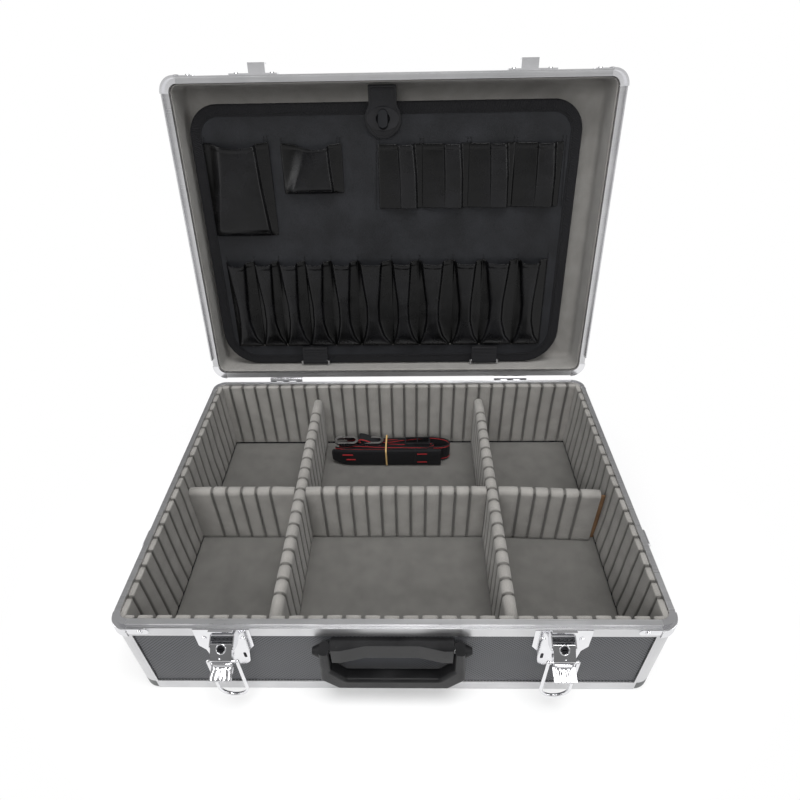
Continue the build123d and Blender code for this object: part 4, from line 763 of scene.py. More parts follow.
def divider(name, start, end, grooves, body, node, seed):
    """A foam divider from start to end (x, y). Its cross-section is a slab with a round
    crown of radius 5.75; along it, both faces are pushed in by 2.4 mm at each groove and
    the crown by 1.4 mm. The crown sags and rises by half a millimetre."""
    start, end = np.asarray(start, float), np.asarray(end, float)
    length = float(np.linalg.norm(end - start))
    run = (end - start) / length
    side = np.array([-run[1], run[0]])
    turn = np.linspace(0, math.pi, 17)
    spring = DIVIDER_TOP - DIVIDER_HALF
    crown = np.stack([DIVIDER_HALF * np.cos(turn), spring + DIVIDER_HALF * np.sin(turn)], -1)
    foot_left, foot_right = (-DIVIDER_HALF, DIVIDER_LOW), (DIVIDER_HALF, DIVIDER_LOW)
    outline = np.concatenate([[foot_left, foot_right], crown, [foot_left]])
    outline = resampled(outline, 4.0)
    normal = outline_normals(outline)
    t = stations(0.0, length, grooves)
    s, z = outline[:, 0][None], outline[:, 1][None]
    height = np.clip((z - spring) / DIVIDER_HALF, 0, 1)
    amount = (0.80 - 0.34 * height) * np.clip((z - DIVIDER_LOW) / 1.5, 0, 1)
    push = groove_depth(nearest(t, grooves))[:, None] * amount
    bulge = waves(t[:, None], z + 40 * np.sign(s), seed, 80.0) * 0.35
    ends = np.minimum(t, length - t)[:, None]
    round_off = np.clip(1 - ends / 1.4, 0, 1) ** 2 * 1.1
    s_all = s - normal[None, :, 0] * (push + round_off - bulge)
    sag = height * waves(t[:, None], z * 0, seed + 5, 60.0, 2) * 0.5
    z_all = z - normal[None, :, 1] * (push + round_off) + sag
    z_all = np.maximum(z_all, DIVIDER_LOW)
    x = start[0] + run[0] * t[:, None] + side[0] * s_all
    y = start[1] + run[1] * t[:, None] + side[1] * s_all
    # painted shade: the deeper a point lies in a groove, the darker its cloth
    shade = np.pad(np.clip(push / 2.6, 0, 1), ((2, 2), (0, 0)), "edge")
    made = surface(name, ends_closed(np.stack([x, y, z_all], -1), 2), shade=shade)
    made.data.materials.append(foam_cloth)
    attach(made, body)
    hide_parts(node)
    return made


def core_strip(name, start, end, body, node, top=79.0):
    """The divider's stiff core where it stands out of the foam: a thin rounded plate."""
    start, end = np.asarray(start, float), np.asarray(end, float)
    length = float(np.linalg.norm(end - start))
    run = (end - start) / length
    side = np.array([-run[1], run[0]])
    plate = [(-0.85, 11.5), (0.85, 11.5), (0.85, top), (-0.85, top)]
    outline = resampled(rounded_outline(plate, 0.5, 4), 6.0)
    t = np.linspace(0, length, 4)
    s, z = outline[:, 0][None], outline[:, 1][None]
    ragged = waves(t[:, None], z, 31, 9.0) * 0.12
    x = start[0] + run[0] * t[:, None] + side[0] * (s + ragged)
    y = start[1] + run[1] * t[:, None] + side[1] * (s + ragged)
    made = surface(name, ends_closed(np.stack([x, y, np.broadcast_to(z, x.shape)], -1), 2))
    made.data.materials.append(core_board)
    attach(made, body)
    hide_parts(node)
    return made


LONG_X, LONG_END = 100.75, 153.3        # long dividers: middle, and end from the centre
ROW_Y = 2.0                             # the short dividers' line
BAY_OUT, BAY_IN = 218.3, 106.8          # ends of the left short one
MIDDLE_END = 94.7
SKEWED_START, SKEWED_LENGTH = 107.4, 104.6
long_grooves = LONG_END + 2.0 + np.arange(-8, 9) * GROOVE_STEP
print("long dividers at x", -LONG_X, LONG_X)
for side, word in ((-1, "left"), (1, "right")):
    x = side * LONG_X
    divider(f"padded_divider_long_{word}", (x, -LONG_END), (x, LONG_END), long_grooves,
            f"long_divider_{word}", f"divider_long_{word}", 20 + side)
mid_low, mid_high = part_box("divider_cross_middle")
bay_grooves = (BAY_OUT - BAY_IN) / 2 + (np.arange(5) - 2) * GROOVE_STEP
divider("padded_divider_cross_left", (-BAY_OUT, ROW_Y), (-BAY_IN, ROW_Y), bay_grooves,
        "cross_divider_left", "divider_cross_left", 30)
middle_grooves = MIDDLE_END + (np.arange(11) - 5) * GROOVE_STEP
divider("padded_divider_cross_middle", (-MIDDLE_END, ROW_Y), (MIDDLE_END, ROW_Y), middle_grooves,
        "cross_divider_middle", "divider_cross_middle", 32)
skew = math.radians(3.0)
first = np.array([SKEWED_START, ROW_Y])
reach = np.array([math.cos(skew), -math.sin(skew)])
skewed_grooves = SKEWED_LENGTH / 2 + (np.arange(5) - 2) * GROOVE_STEP
divider("padded_divider_cross_right", first, first + reach * SKEWED_LENGTH, skewed_grooves,
        "cross_divider_right", "divider_cross_right", 34)
core_strip("bare_core_right", first + reach * (SKEWED_LENGTH - 1.0), first + reach * 110.4,
           "cross_divider_right", "divider_cross_right")
print("dividers placed; middle one in CAD spans x",
      round(mid_low.x * 1000, 1), round(mid_high.x * 1000, 1))

# %% [markdown]
# ## Floor cloth
# A pad of the same cloth lies on the bottom, coloured darker than the walls as painted shade.
# It was cut by hand, so its edges are lightly crumpled against the walls and its face has
# slow swells a few centimetres across.

# %% Floor pad
PAD_HALF = (218.4, 153.4)
PAD_TOP, PAD_LIMIT, PAD_UNDER = 10.75, 11.0, 5.3


def floor_pad():
    """A thin pad over the whole floor: height PAD_TOP - 0.7 * edge + waves(x, y). Each ring
    of the grid goes over the top from left to right and back underneath."""
    x = np.unique(np.concatenate([np.linspace(-PAD_HALF[0], PAD_HALF[0], 120), [-217.6, 217.6]]))
    y = np.linspace(-PAD_HALF[1], PAD_HALF[1], 90)
    gx, gy = np.meshgrid(x, y, indexing="ij")
    from_edge = np.minimum(PAD_HALF[0] - np.abs(gx), PAD_HALF[1] - np.abs(gy))
    edge = np.clip(1 - from_edge / 4.0, 0, 1) ** 2
    top = PAD_TOP - 0.7 * edge + 0.35 * waves(gx, gy, 41, 120.0) + 0.12 * waves(gx, gy, 42, 38.0)
    over = np.stack([gx, gy, np.minimum(top, PAD_LIMIT)], -1)
    under = np.stack([gx[::-1], gy[::-1], np.full_like(gx, PAD_UNDER)], -1)
    ring = np.concatenate([over, under, over[:1]])
    return surface("floor_pad", ends_closed(ring.transpose(1, 0, 2), 1))


pad = floor_pad()
pad.data.materials.append(floor_cloth_painted_shade)
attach(pad, "base")
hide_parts("base_floor_pad")
print("floor pad:", len(pad.data.polygons), "faces")

# %% [markdown]
# ## Lining of the lid
# The lid's walls and ceiling are lined with thinner cloth-covered board. It is one tray:
# nested rounded rectangles that climb the wall, turn over the lip and run to the middle.

# %% Lid lining
LID_MIDDLE = np.array([0.0, CASE_HALF[1]])


def nested_ring(inset, sides=(36, 26), arc=6):
    """A rounded rectangle inside the lid, in (x, up): half sides 230 - inset and
    165 - inset, corner radius max(15 - inset, 2). Every inset has the same point count."""
    half = np.array(CASE_HALF) - inset
    radius = min(max(CASE_CORNER - inset, 2.0), half.min())
    signs = np.array([(1, -1), (1, 1), (-1, 1), (-1, -1)], float)
    begin = np.radians([-90.0, 0.0, 90.0, 180.0])
    turn = np.linspace(0, math.pi / 2, arc)
    arcs = [(s * (half - radius))[None]
            + radius * np.stack([np.cos(b + turn), np.sin(b + turn)], -1)
            for s, b in zip(signs, begin)]
    ring = []
    for k, arc_points in enumerate(arcs):
        following = arcs[(k + 1) % 4][0]
        share = np.linspace(0, 1, sides[1 - k % 2] + 2)[1:-1, None]
        ring += [arc_points, arc_points[-1] * (1 - share) + following * share]
    ring = np.concatenate(ring)
    return np.concatenate([ring, ring[:1]]) + LID_MIDDLE


# Rings of the tray, up behind the wall pad, over its lip, down its face and along the
# ceiling to the middle: inset from the lid's outside, and depth from the lid's mouth.
TRAY = [
    (6.6, 42.0), (6.5, 30.0), (6.5, 12.0), (6.5, 4.6), (6.9, 4.1), (7.2, 4.0), (7.5, 4.3),
    (7.7, 5.0), (7.7, 12.0), (7.7, 20.0), (7.7, 28.0), (7.8, 35.0), (8.6, 39.2), (10.2, 41.4),
    (12.5, 42.3), (18.0, 42.5), (40.0, 42.5), (80.0, 42.5), (120.0, 42.5), (164.9, 42.5),
]
insets, depth = np.array(TRAY)[:, :1], np.array(TRAY)[:, 1:]
rings = np.stack([nested_ring(inset) for inset, _ in TRAY])
inner = np.clip((insets - 7.2) / 0.5, 0, 1) * (insets < 13)
puff = 0.22 * waves(rings[..., 0], rings[..., 1] + depth, 51, 120.0) * inner
away = rings - LID_MIDDLE
away = away / np.linalg.norm(away, axis=-1, keepdims=True)
rings = rings - away * puff[..., None]
lining = surface("lid_lining", in_lid(rings[..., 0], rings[..., 1], depth), outward=False)
lining.data.materials.append(lid_cloth)
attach(lining, "lid")
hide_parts("lid_liner_walls")
print("lid lining:", len(lining.data.polygons), "faces")

# %% [markdown]
# ## Bands, ribbons and stitches
# Webbing, straps and hems are flat ribbons carried along a line; stitches are short
# threads set at an even pitch. Both come from one formula each, so that every seam on
# the case is sewn in the same way.

# %% Ribbon along a line
def along_line(points, spacing):
    """The same line with evenly spaced points, by its running length."""
    points = np.asarray(points, float)
    at = np.concatenate([[0], np.cumsum(np.linalg.norm(np.diff(points, axis=0), axis=1))])
    want = np.linspace(0, at[-1], max(2, int(round(at[-1] / spacing)) + 1))
    return np.stack([np.interp(want, at, points[:, k]) for k in range(3)], -1)


def smooth_line(points, spacing):
    """A soft curve near a few points: the line is cut fine and averaged along itself."""
    line = along_line(points, spacing)
    for _ in range(6):
        line[1:-1] = (line[:-2] + 2 * line[1:-1] + line[2:]) / 4
    return line


def ribbon(name, line, across, width, thickness, finish, closed=False, crown=0.0, taper=None):
    """A flat band along a line. The ring at point p is p + across * a * taper + normal *
    (n + crown * (1 - (2 a / width)^2)), with (a, n) on a rounded width x thickness rectangle."""
    line = np.asarray(line, float)
    tangent = np.gradient(line, axis=0)
    if closed:
        tangent[0] = tangent[-1] = line[1] - line[-2]
    tangent /= np.linalg.norm(tangent, axis=1, keepdims=True)
    across = np.broadcast_to(np.asarray(across, float), line.shape)
    across = across - tangent * (across * tangent).sum(1, keepdims=True)
    across /= np.linalg.norm(across, axis=1, keepdims=True)
    normal = np.cross(tangent, across)
    half, thick = width / 2, thickness / 2
    corners = [(-half, -thick), (half, -thick), (half, thick), (-half, thick)]
    section = resampled(rounded_outline(corners, thick * 0.9, 4), max(width / 8, 1.0))
    a, n = section[:, 0][None, :, None], section[:, 1][None, :, None]
    scale = 1.0 if taper is None else np.asarray(taper)[:, None, None]
    swell = crown * (1 - (a / half) ** 2)
    grid = line[:, None] + across[:, None] * a * scale + normal[:, None] * (n + swell)
    made = surface(name, grid if closed else ends_closed(grid, 2))
    made.data.materials.append(finish)
    return made

# %% Stitches
def stamped(name, centres, directions, normals, length, width, height, finish):
    """Short threads: each is a half-sunk ellipsoid, its long axis along the seam. Point of
    thread k: c_k + d_k * l/2 * cos v + (s_k * cos u * w/2 + n_k * sin u * h/2) * sin v."""
    centres, directions, normals = (np.asarray(v, float) for v in (centres, directions, normals))
    directions = directions / np.linalg.norm(directions, axis=1, keepdims=True)
    normals = normals - directions * (normals * directions).sum(1, keepdims=True)
    normals /= np.linalg.norm(normals, axis=1, keepdims=True)
    sides = np.cross(directions, normals)
    v = np.linspace(0.35, math.pi - 0.35, 5)
    u = np.linspace(0, 2 * math.pi, 7)[:-1]
    vv, uu = (g.ravel() for g in np.meshgrid(v, u, indexing="ij"))
    local = np.stack([np.cos(vv) * length / 2, np.cos(uu) * np.sin(vv) * width / 2,
                      np.sin(uu) * np.sin(vv) * height / 2], -1)
    points = (centres[:, None] + directions[:, None] * local[None, :, 0:1]
              + sides[:, None] * local[None, :, 1:2] + normals[:, None] * local[None, :, 2:3])
    index = np.arange(30).reshape(5, 6)
    turned = np.roll(index, -1, axis=1)
    quads = np.stack([index[:-1], turned[:-1], turned[1:], index[1:]], -1).reshape(-1, 4)
    caps = [index[0][::-1].tolist(), index[-1].tolist()]
    starts = (np.arange(len(centres)) * 30).tolist()
    faces = [f for s in starts
             for f in (quads + s).tolist() + [[i + s for i in c] for c in caps]]
    mesh = bpy.data.meshes.new(name)
    mesh.from_pydata((points.reshape(-1, 3) * MM).tolist(), [], faces)
    mesh.uv_layers.new(name="UVMap")
    corner = np.zeros(len(mesh.loops), np.int32)
    mesh.loops.foreach_get("vertex_index", corner)
    one_flat = np.stack([vv / math.pi * length, uu / (2 * math.pi) * 3 * width], -1)
    flat = np.tile(one_flat, (len(centres), 1)) * MM
    mesh.uv_layers["UVMap"].data.foreach_set("uv", flat[corner].astype(np.float32).ravel())
    made = bpy.data.objects.new(name, mesh)
    bpy.context.scene.collection.objects.link(made)
    tidy(mesh)
    mesh.polygons.foreach_set("use_smooth", np.ones(len(mesh.polygons), bool))
    mesh.materials.append(finish)
    return made


def seam_points(lines, normal, pitch):
    """Middles, directions and normals of the threads along several seam lines."""
    rows = [along_line(line, pitch) for line in lines]
    middles = np.concatenate([(row[:-1] + row[1:]) / 2 for row in rows])
    runs = np.concatenate([np.diff(row, axis=0) for row in rows])
    return middles, runs, np.broadcast_to(np.asarray(normal, float), middles.shape)


LID_OUT = in_lid(0, 0, -1.0) - in_lid(0, 0, 0.0)
LID_UP = in_lid(0, 1.0, 0) - in_lid(0, 0, 0)
print("out of the lid:", LID_OUT.round(3), "up the lid:", LID_UP.round(3))

# %% [markdown]
# ## Pallet binding
# A ribbed tape is folded round the board's edge and sewn down. Its cross-section is a
# fat rounded slab that is carried round the board's outline.

# %% Binding
def pallet_line(inset, steps=14):
    """Outline of the board, drawn in by inset, in (x, up): rounded corners of radius 32
    at the top and 42 at the foot, with straight runs cut to about 4 mm."""
    low_x, high_x, low_u, high_u = -217.5 + inset, 198.5 - inset, 9.0 + inset, 305.0 - inset
    top, foot = 32.0 - inset, 42.0 - inset
    ends = [(high_x - foot, low_u + foot, foot, -90), (high_x - top, high_u - top, top, 0),
            (low_x + top, high_u - top, top, 90), (low_x + foot, low_u + foot, foot, 180)]
    runs = (68, 100, 68, 88)
    pieces = []
    for k, (cx, cu, r, a) in enumerate(ends):
        turn = np.radians(a + np.linspace(0, 90, steps))
        pieces.append(np.stack([cx + r * np.cos(turn), cu + r * np.sin(turn)], -1))
        nx, nu, nr, na = ends[(k + 1) % 4]
        bearing = math.radians(na)
        goal = np.array([nx + nr * math.cos(bearing), nu + nr * math.sin(bearing)])
        share = np.linspace(0, 1, runs[k] + 2)[1:-1, None]
        pieces.append(pieces[-1][-1] * (1 - share) + goal * share)
    ring = np.concatenate(pieces)
    return np.concatenate([ring, ring[:1]])


folded = [(0.0, 21.6), (12.0, 22.2), (12.0, 26.8), (0.0, 27.4)]
section = resampled(rounded_outline(folded, [2.7, 0.7, 0.7, 2.7], 6), 1.5)
outer_ring, inner_ring = pallet_line(0.0), pallet_line(12.0)
share = (section[:, 0] / 12.0)[None, :, None]
spots = outer_ring[:, None] * (1 - share) + inner_ring[:, None] * share
ruffle = 0.25 * waves(spots[..., 0], spots[..., 1], 61, 45.0) * (section[:, 1] < 23)[None]
folded_tape = in_lid(spots[..., 0], spots[..., 1], section[:, 1][None] + ruffle)
binding = surface("pallet_binding_tape", folded_tape)
binding.data.materials.append(binding_tape)
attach(binding, "pallet")
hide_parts("pallet_binding")
sewn = pallet_line(9.6)
sewn = in_lid(sewn[:, 0], sewn[:, 1], 21.95)
threads = stamped("binding_stitches", *seam_points([sewn], LID_OUT, 3.4), 2.5, 0.9, 0.8, thread)
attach(threads, "pallet")
print("binding:", len(binding.data.polygons), "faces, stitches:", len(threads.data.polygons) // 26)

# %% [markdown]
# ## Pockets
# Each row of pockets is one strip of artificial leather, sewn to the board at every seam
# and folded between the seams. A pocket's shape is given at a few levels from its foot to
# its mouth: where its folds lie (as shares of the distance between two seams) and how far
# they stand out from the board. Between these the strip is a smooth surface.

# %% Pocket strip
def row_at(rows, share):
    """The number of the row nearest to a share of the way up."""
    return int(np.argmin(np.abs(rows - share)))


def pocket_strip(name, seams, low, high, levels, places, heights, dip, hem, seed, share_up=30):
    """Strip of pockets: for pocket k and level v, point j lies at x = s_k + (s_k+1 - s_k) *
    place_j(v) and stands out by height_j(v). Both are blended between the stated levels;
    each fold gets three points; hems add a step; slow waves soften the leather."""
    levels, places, heights = (np.asarray(v, float) for v in (levels, places, heights))
    hem_at = [1 - hem / (high - low), 1 - (hem - 0.9) / (high - low)]
    v = np.unique(np.concatenate([np.linspace(0, 1, share_up), hem_at, [0.015]]).round(4))
    knots = places.shape[1]
    q = np.linspace(0, knots - 1, (knots - 1) * 3 + 1)

    def field(table):
        """A table carried to every level and to three points for each fold."""
        by_level = np.stack([np.interp(v, levels, table[:, j]) for j in range(knots)], -1)
        return np.stack([np.interp(q, np.arange(knots), row) for row in by_level])

    fx, fh = field(places), field(heights)
    widths = np.diff(seams)
    drift = np.random.default_rng(seed).uniform(-1, 1, (len(widths), 3))
    x = seams[:-1][None, :, None] + widths[None, :, None] * fx[:, None, :]
    free = np.sin(math.pi * np.clip(fx[:, None, :], 0, 1)) ** 0.5
    x = (x + drift[None, :, 0:1] * 1.1 * free
         + drift[None, :, 1:2] * 1.3 * free * (v[:, None, None] - 0.5))
    room = np.clip(widths / 32.0, 0.85, 1.12)[None, :, None]
    out = fh[:, None, :] * np.minimum(room, 1.05) * (1 + 0.05 * drift[None, :, 2:3])
    up = low + (high - low) * v[:, None, None] + 0 * x
    mouth = np.clip((v - 0.6) / 0.4, 0, 1)[:, None, None] ** 2
    up = up - dip * free * mouth * np.clip(out / heights.max(), 0, 1)
    step = 0.55 * np.clip((v - hem_at[0]) / (hem_at[1] - hem_at[0]), 0, 1)[:, None, None]
    out = out + step * free + 0.35 * waves(x, up, seed + 1, 42.0) * free
    rows = x.shape[0]
    x, up, out = (g.reshape(rows, -1) for g in (x, up, out))
    out = np.clip(out, 0.35, 10.2)
    grid = in_lid(x, up, 23.0 - out)
    # painted shade: the lower the leather lies between the folds, the darker it is
    painted_shade = np.clip(1 - (out - 0.8) / 4.5, 0, 1) * np.clip((heights.max() - 4) / 5, 0, 1)
    made = surface(name, grid[:, ::-1], outward=False, shade=painted_shade[:, ::-1])
    solid = made.modifiers.new("leather thickness", "SOLIDIFY")
    solid.thickness = 0.9 * MM
    solid.offset = -1.0
    soft = made.modifiers.new("soft folds", "SUBSURF")
    soft.levels = soft.render_levels = 1
    made.data.materials.append(pocket_leather)
    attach(made, "pallet")
    return made, grid, v


def seam_threads(name, lines, normal, pitch=3.1, finish=thread):
    """Threads along lines on the pallet, riding with it."""
    made = stamped(name, *seam_points(lines, normal, pitch), pitch * 0.72, 0.95, 0.8, finish)
    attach(made, "pallet")
    return made


# %% Lower row: eleven narrow pockets
LOWER_FOOT, LOWER_MOUTH = 34.0, 141.0
lower_seams = np.array([-199.6, -167.8, -138.6, -108, -77, -45, -6, 27, 66, 101.5, 142, 176])
LOWER_LEVELS = [0.0, 0.03, 0.12, 0.3, 0.5, 0.75, 1.0]
LOWER_PLACES = [
    [0.0, 0.03, 0.07, 0.50, 0.92, 0.96, 1.0],
    [0.0, 0.04, 0.09, 0.49, 0.89, 0.94, 1.0],
    [0.0, 0.15, 0.20, 0.47, 0.71, 0.76, 1.0],
    [0.0, 0.24, 0.29, 0.44, 0.57, 0.62, 1.0],
    [0.0, 0.24, 0.29, 0.43, 0.56, 0.61, 1.0],
    [0.0, 0.15, 0.20, 0.41, 0.62, 0.67, 1.0],
    [0.0, 0.08, 0.13, 0.40, 0.67, 0.72, 1.0],
]
LOWER_HEIGHTS = [
    [0.4, 0.9, 1.6, 2.0, 1.6, 0.9, 0.4],
    [0.4, 2.0, 4.6, 5.4, 4.6, 2.0, 0.4],
    [0.4, 3.2, 7.6, 8.4, 7.6, 3.0, 0.4],
    [0.4, 3.2, 8.6, 9.2, 8.6, 3.0, 0.4],
    [0.4, 3.0, 8.8, 9.4, 8.8, 2.8, 0.4],
    [0.4, 3.0, 9.0, 9.6, 9.0, 2.8, 0.4],
    [0.4, 3.4, 9.2, 9.8, 9.2, 3.0, 0.4],
]
lower, lower_grid, lower_v = pocket_strip(
    "pockets_lower", lower_seams, LOWER_FOOT, LOWER_MOUTH, LOWER_LEVELS, LOWER_PLACES,
    LOWER_HEIGHTS, 4.2, 6.0, 71)
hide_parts("pallet_pockets_lower")
lines = [in_lid(np.array([s + 0.9, s + 0.54]), np.array([36.0, 147.0]), 22.35) for s in lower_seams]
hem_row = row_at(lower_v, 1 - 4.6 / (LOWER_MOUTH - LOWER_FOOT))
seam_threads("stitches_lower_seams", lines, LID_OUT)
faces_of = lower_grid.reshape(lower_grid.shape[0], 11, -1, 3)
hems = [faces_of[hem_row, k, 5:14] + LID_OUT * 0.35 for k in range(11)]
seam_threads("stitches_lower_hems", hems, LID_OUT, 2.9)
ends = np.concatenate([in_lid(lower_seams[1:-1] + d, 34.6 + 0.5 * abs(d), 21.9)
                       for d in (-1.2, 0.2, 1.4)])
astray = 0.6 * np.random.default_rng(5).uniform(-1, 1, (len(ends), 3))
tufts = stamped("frayed_ends_lower", ends, np.tile(LID_UP, (len(ends), 1)) + astray,
                np.tile(LID_OUT, (len(ends), 1)), 3.4, 0.9, 0.8, frayed)
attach(tufts, "pallet")
print("lower pockets:", len(lower.data.polygons), "faces before their folds are softened")

# %% Upper row: four wide pockets with a box pleat
UPPER_FOOT, UPPER_MOUTH = 199.0, 265.0
upper_seams = np.array([-17.0, 29.6, 80.0, 129.3, 180.5])
PLEAT_PLACES = [
    [0.0, 0.04, 0.30, 0.50, 0.53, 0.70, 0.86, 0.89, 1.0],
    [0.0, 0.04, 0.30, 0.49, 0.52, 0.69, 0.84, 0.88, 1.0],
    [0.0, 0.04, 0.28, 0.46, 0.49, 0.64, 0.78, 0.83, 1.0],
]
PLEAT_HEIGHTS = [
    [0.4, 1.2, 3.4, 4.4, 6.2, 7.4, 6.6, 1.4, 0.4],
    [0.4, 1.4, 2.8, 3.4, 6.4, 7.6, 6.8, 1.6, 0.4],
    [0.4, 1.2, 1.8, 2.4, 5.6, 6.8, 6.2, 1.6, 0.4],
]
upper, upper_grid, upper_v = pocket_strip(
    "pockets_upper", upper_seams, UPPER_FOOT, UPPER_MOUTH, [0.0, 0.5, 1.0], PLEAT_PLACES,
    PLEAT_HEIGHTS, 1.2, 5.6, 81, 22)
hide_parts("pallet_pockets_upper")
lines = [in_lid(np.array([s + d * 2.8, s + d]), np.array([197.0, 271.0]), 22.3)
         for s in upper_seams for d in (-1.6, 1.6)]
seam_threads("stitches_upper_seams", lines, LID_OUT)
tall = UPPER_MOUTH - UPPER_FOOT
both = [row_at(upper_v, 1 - 4.2 / tall), row_at(upper_v, 3.6 / tall)]
faces_of = upper_grid.reshape(upper_grid.shape[0], 4, -1, 3)
hems = [faces_of[row, k, 1:24] + LID_OUT * 0.35 for k in range(4) for row in both]
seam_threads("stitches_upper_hems", hems, LID_OUT, 2.9)
print("upper pockets:", len(upper.data.polygons), "faces")

# %% The two pouches
LARGE_PLACES = [
    [0.0, 0.02, 0.06, 0.50, 0.90, 0.92, 0.95, 1.0],
    [0.0, 0.04, 0.10, 0.50, 0.87, 0.90, 0.94, 1.0],
    [0.0, 0.10, 0.22, 0.52, 0.80, 0.83, 0.88, 1.0],
    [0.0, 0.12, 0.28, 0.52, 0.76, 0.79, 0.82, 1.0],
]
LARGE_HEIGHTS = [
    [0.4, 1.2, 2.6, 3.2, 2.6, 1.2, 0.8, 0.4],
    [0.4, 3.6, 9.0, 9.8, 9.0, 3.4, 1.8, 0.6],
    [0.4, 2.6, 8.2, 9.2, 8.4, 3.0, 2.4, 1.4],
    [0.4, 1.8, 6.6, 8.2, 7.8, 2.8, 2.6, 2.0],
]
SMALL_PLACES = [
    [0.0, 0.06, 0.14, 0.48, 0.82, 0.84, 0.90, 1.0],
    [0.0, 0.08, 0.18, 0.50, 0.80, 0.83, 0.90, 1.0],
    [0.0, 0.16, 0.34, 0.55, 0.76, 0.79, 0.88, 1.0],
    [0.0, 0.22, 0.44, 0.59, 0.74, 0.77, 0.86, 1.0],
]
LEVELS = [0.0, 0.06, 0.55, 1.0]
# Left and right seams, foot and mouth of each pouch.
LARGE_BOX, SMALL_BOX = (-205.0, -134.0, 171.0, 269.0), (-122.0, -56.0, 216.0, 267.0)
large, large_grid, large_v = pocket_strip(
    "pouch_large", np.array(LARGE_BOX[:2]), *LARGE_BOX[2:], LEVELS, LARGE_PLACES, LARGE_HEIGHTS,
    7.0, 6.0, 91, 30)
small, small_grid, small_v = pocket_strip(
    "pouch_small", np.array(SMALL_BOX[:2]), *SMALL_BOX[2:], LEVELS, SMALL_PLACES, LARGE_HEIGHTS,
    8.0, 5.0, 95, 24)
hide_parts("pallet_pouches")
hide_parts("pallet_pouches")
lines = []
for low_x, high_x, low_u, high_u in (LARGE_BOX, SMALL_BOX):
    for x in (low_x + 1.4, high_x - 1.6, high_x - 5.0):
        lines.append(in_lid(np.array([x, x]), np.array([low_u + 1.0, high_u + 6.0]), 22.0))
seam_threads("stitches_pouch_seams", lines, LID_OUT)
hems = []
for grid, v, box in ((large_grid, large_v, LARGE_BOX), (small_grid, small_v, SMALL_BOX)):
    tall = box[3] - box[2]
    hems.append(grid[row_at(v, 1 - 4.4 / tall), 4:16] + LID_OUT * 0.35)
seam_threads("stitches_pouch_hems", hems, LID_OUT, 2.9)
print("pouches:", len(large.data.polygons), len(small.data.polygons), "faces")

# %% [markdown]
# ## Webbing hinges of the pallet
# Two folded tapes carry the pallet's foot on steel rods, so that it can tip forward out
# of the lid. Each is a ribbon that goes round its rod and is sewn to the board.

# %% Hinge tapes
def hinge_tape(name, x):
    """A doubled tape round the rod: down behind it, half a circle of radius 2.2, and up in
    front. Two rows of stitches hold the ends."""
    turn = np.radians(np.linspace(0, 180, 13))
    rod_up, rod_depth, radius = 13.0, 18.6, 2.25
    up = np.concatenate([np.linspace(32.0, rod_up, 10), rod_up - radius * np.sin(turn)[1:],
                         np.linspace(rod_up, 31.0, 10)[1:]])
    depth = np.concatenate([np.full(10, 20.85), rod_depth + radius * np.cos(turn)[1:],
                            np.linspace(16.4, 19.3, 10)[1:]])
    line = in_lid(x, up, depth)
    made = ribbon(name, line, (1, 0, 0), 31.0, 1.15, black_webbing)
    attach(made, "pallet")
    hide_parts("pallet_tabs")
    front = [in_lid(np.array([x - 13.5, x + 13.5]), np.array([u, u]), d)
             for u, d in ((28.5, 18.15), (24.0, 17.4))]
    sewn = stamped(name + "_stitches", *seam_points(front, LID_OUT, 2.8), 2.0, 0.6, 0.6, thread)
    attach(sewn, "pallet")
    return made


tapes = [hinge_tape("hinge_tape_left", -104.5), hinge_tape("hinge_tape_right", 108.5)]
print("hinge tapes:", [len(t.data.polygons) for t in tapes], "faces")

# %% [markdown]
# ## Retaining strap
# A leatherette tongue comes down from the lid's top wall and buttons over the turning
# knob. Its surface runs round the hole and out to the edge, so the eyelet sits in it.

# %% Retaining strap
ROOT = in_lid(-11.0, 320.3, 16.0)
HOLE = in_lid(-11.0, 289.0, 19.2)
RISE = (ROOT - HOLE) / np.linalg.norm(ROOT - HOLE)
SIDE = np.array([1.0, 0.0, 0.0])
FACE = np.cross(SIDE, RISE)
REACH = float(np.linalg.norm(ROOT - HOLE))


def strap_edge(turn, inset=0.0):
    """Distance from the hole to the strap's edge, at an angle from straight up: the circle
    of radius 19, and above it the neck, 29 wide, up to the lid's wall."""
    up = np.maximum(np.cos(turn), 1e-6)
    side = np.maximum(np.abs(np.sin(turn)), 1e-6)
    neck = np.minimum((14.5 - inset) / side, (REACH - 0.3 - inset) / up)
    return np.where(np.cos(turn) > 0.55, np.maximum(neck, 19.0 - inset), 19.0 - inset)


turn = np.unique(np.concatenate([np.linspace(-math.pi, math.pi, 97), np.linspace(-0.75, 0.75, 61)]))
outer = strap_edge(turn)
hole = 1 / np.sqrt((np.sin(turn) / 7.8) ** 2 + (np.cos(turn) / 10.5) ** 2)
# Rings of the leather: share of the way from the hole to the edge, and height.
RINGS = [
    (0.0, 0.9), (0.02, 1.1), (0.3, 1.1), (0.72, 1.1), (0.86, 1.05), (0.90, 0.8), (0.93, 1.1),
    (0.975, 1.05), (1.0, 0.6), (1.0, -0.6), (0.975, -1.1), (0.5, -1.1), (0.02, -1.1),
    (0.0, -0.9), (0.0, 0.9),
]
share, lift = np.array(RINGS)[:, :1], np.array(RINGS)[:, 1:]
distance = hole[None] * (1 - share) + outer[None] * share
sideways, upward = distance * np.sin(turn), distance * np.cos(turn)
curl = 0.2 * waves(sideways, upward, 101, 60.0) * (lift > 0)
points = (HOLE + sideways[..., None] * SIDE + upward[..., None] * RISE
          + (lift + 0.4 * curl)[..., None] * FACE)
strap = surface("retaining_tongue", points)
strap.data.materials.append(strap_leather)
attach(strap, "strap")
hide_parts("retaining_strap")
ring = np.linspace(-math.pi, math.pi, 181)
edge = strap_edge(ring, 2.6)
line = (HOLE + (edge * np.sin(ring))[:, None] * SIDE + (edge * np.cos(ring))[:, None] * RISE
        + 1.05 * FACE)
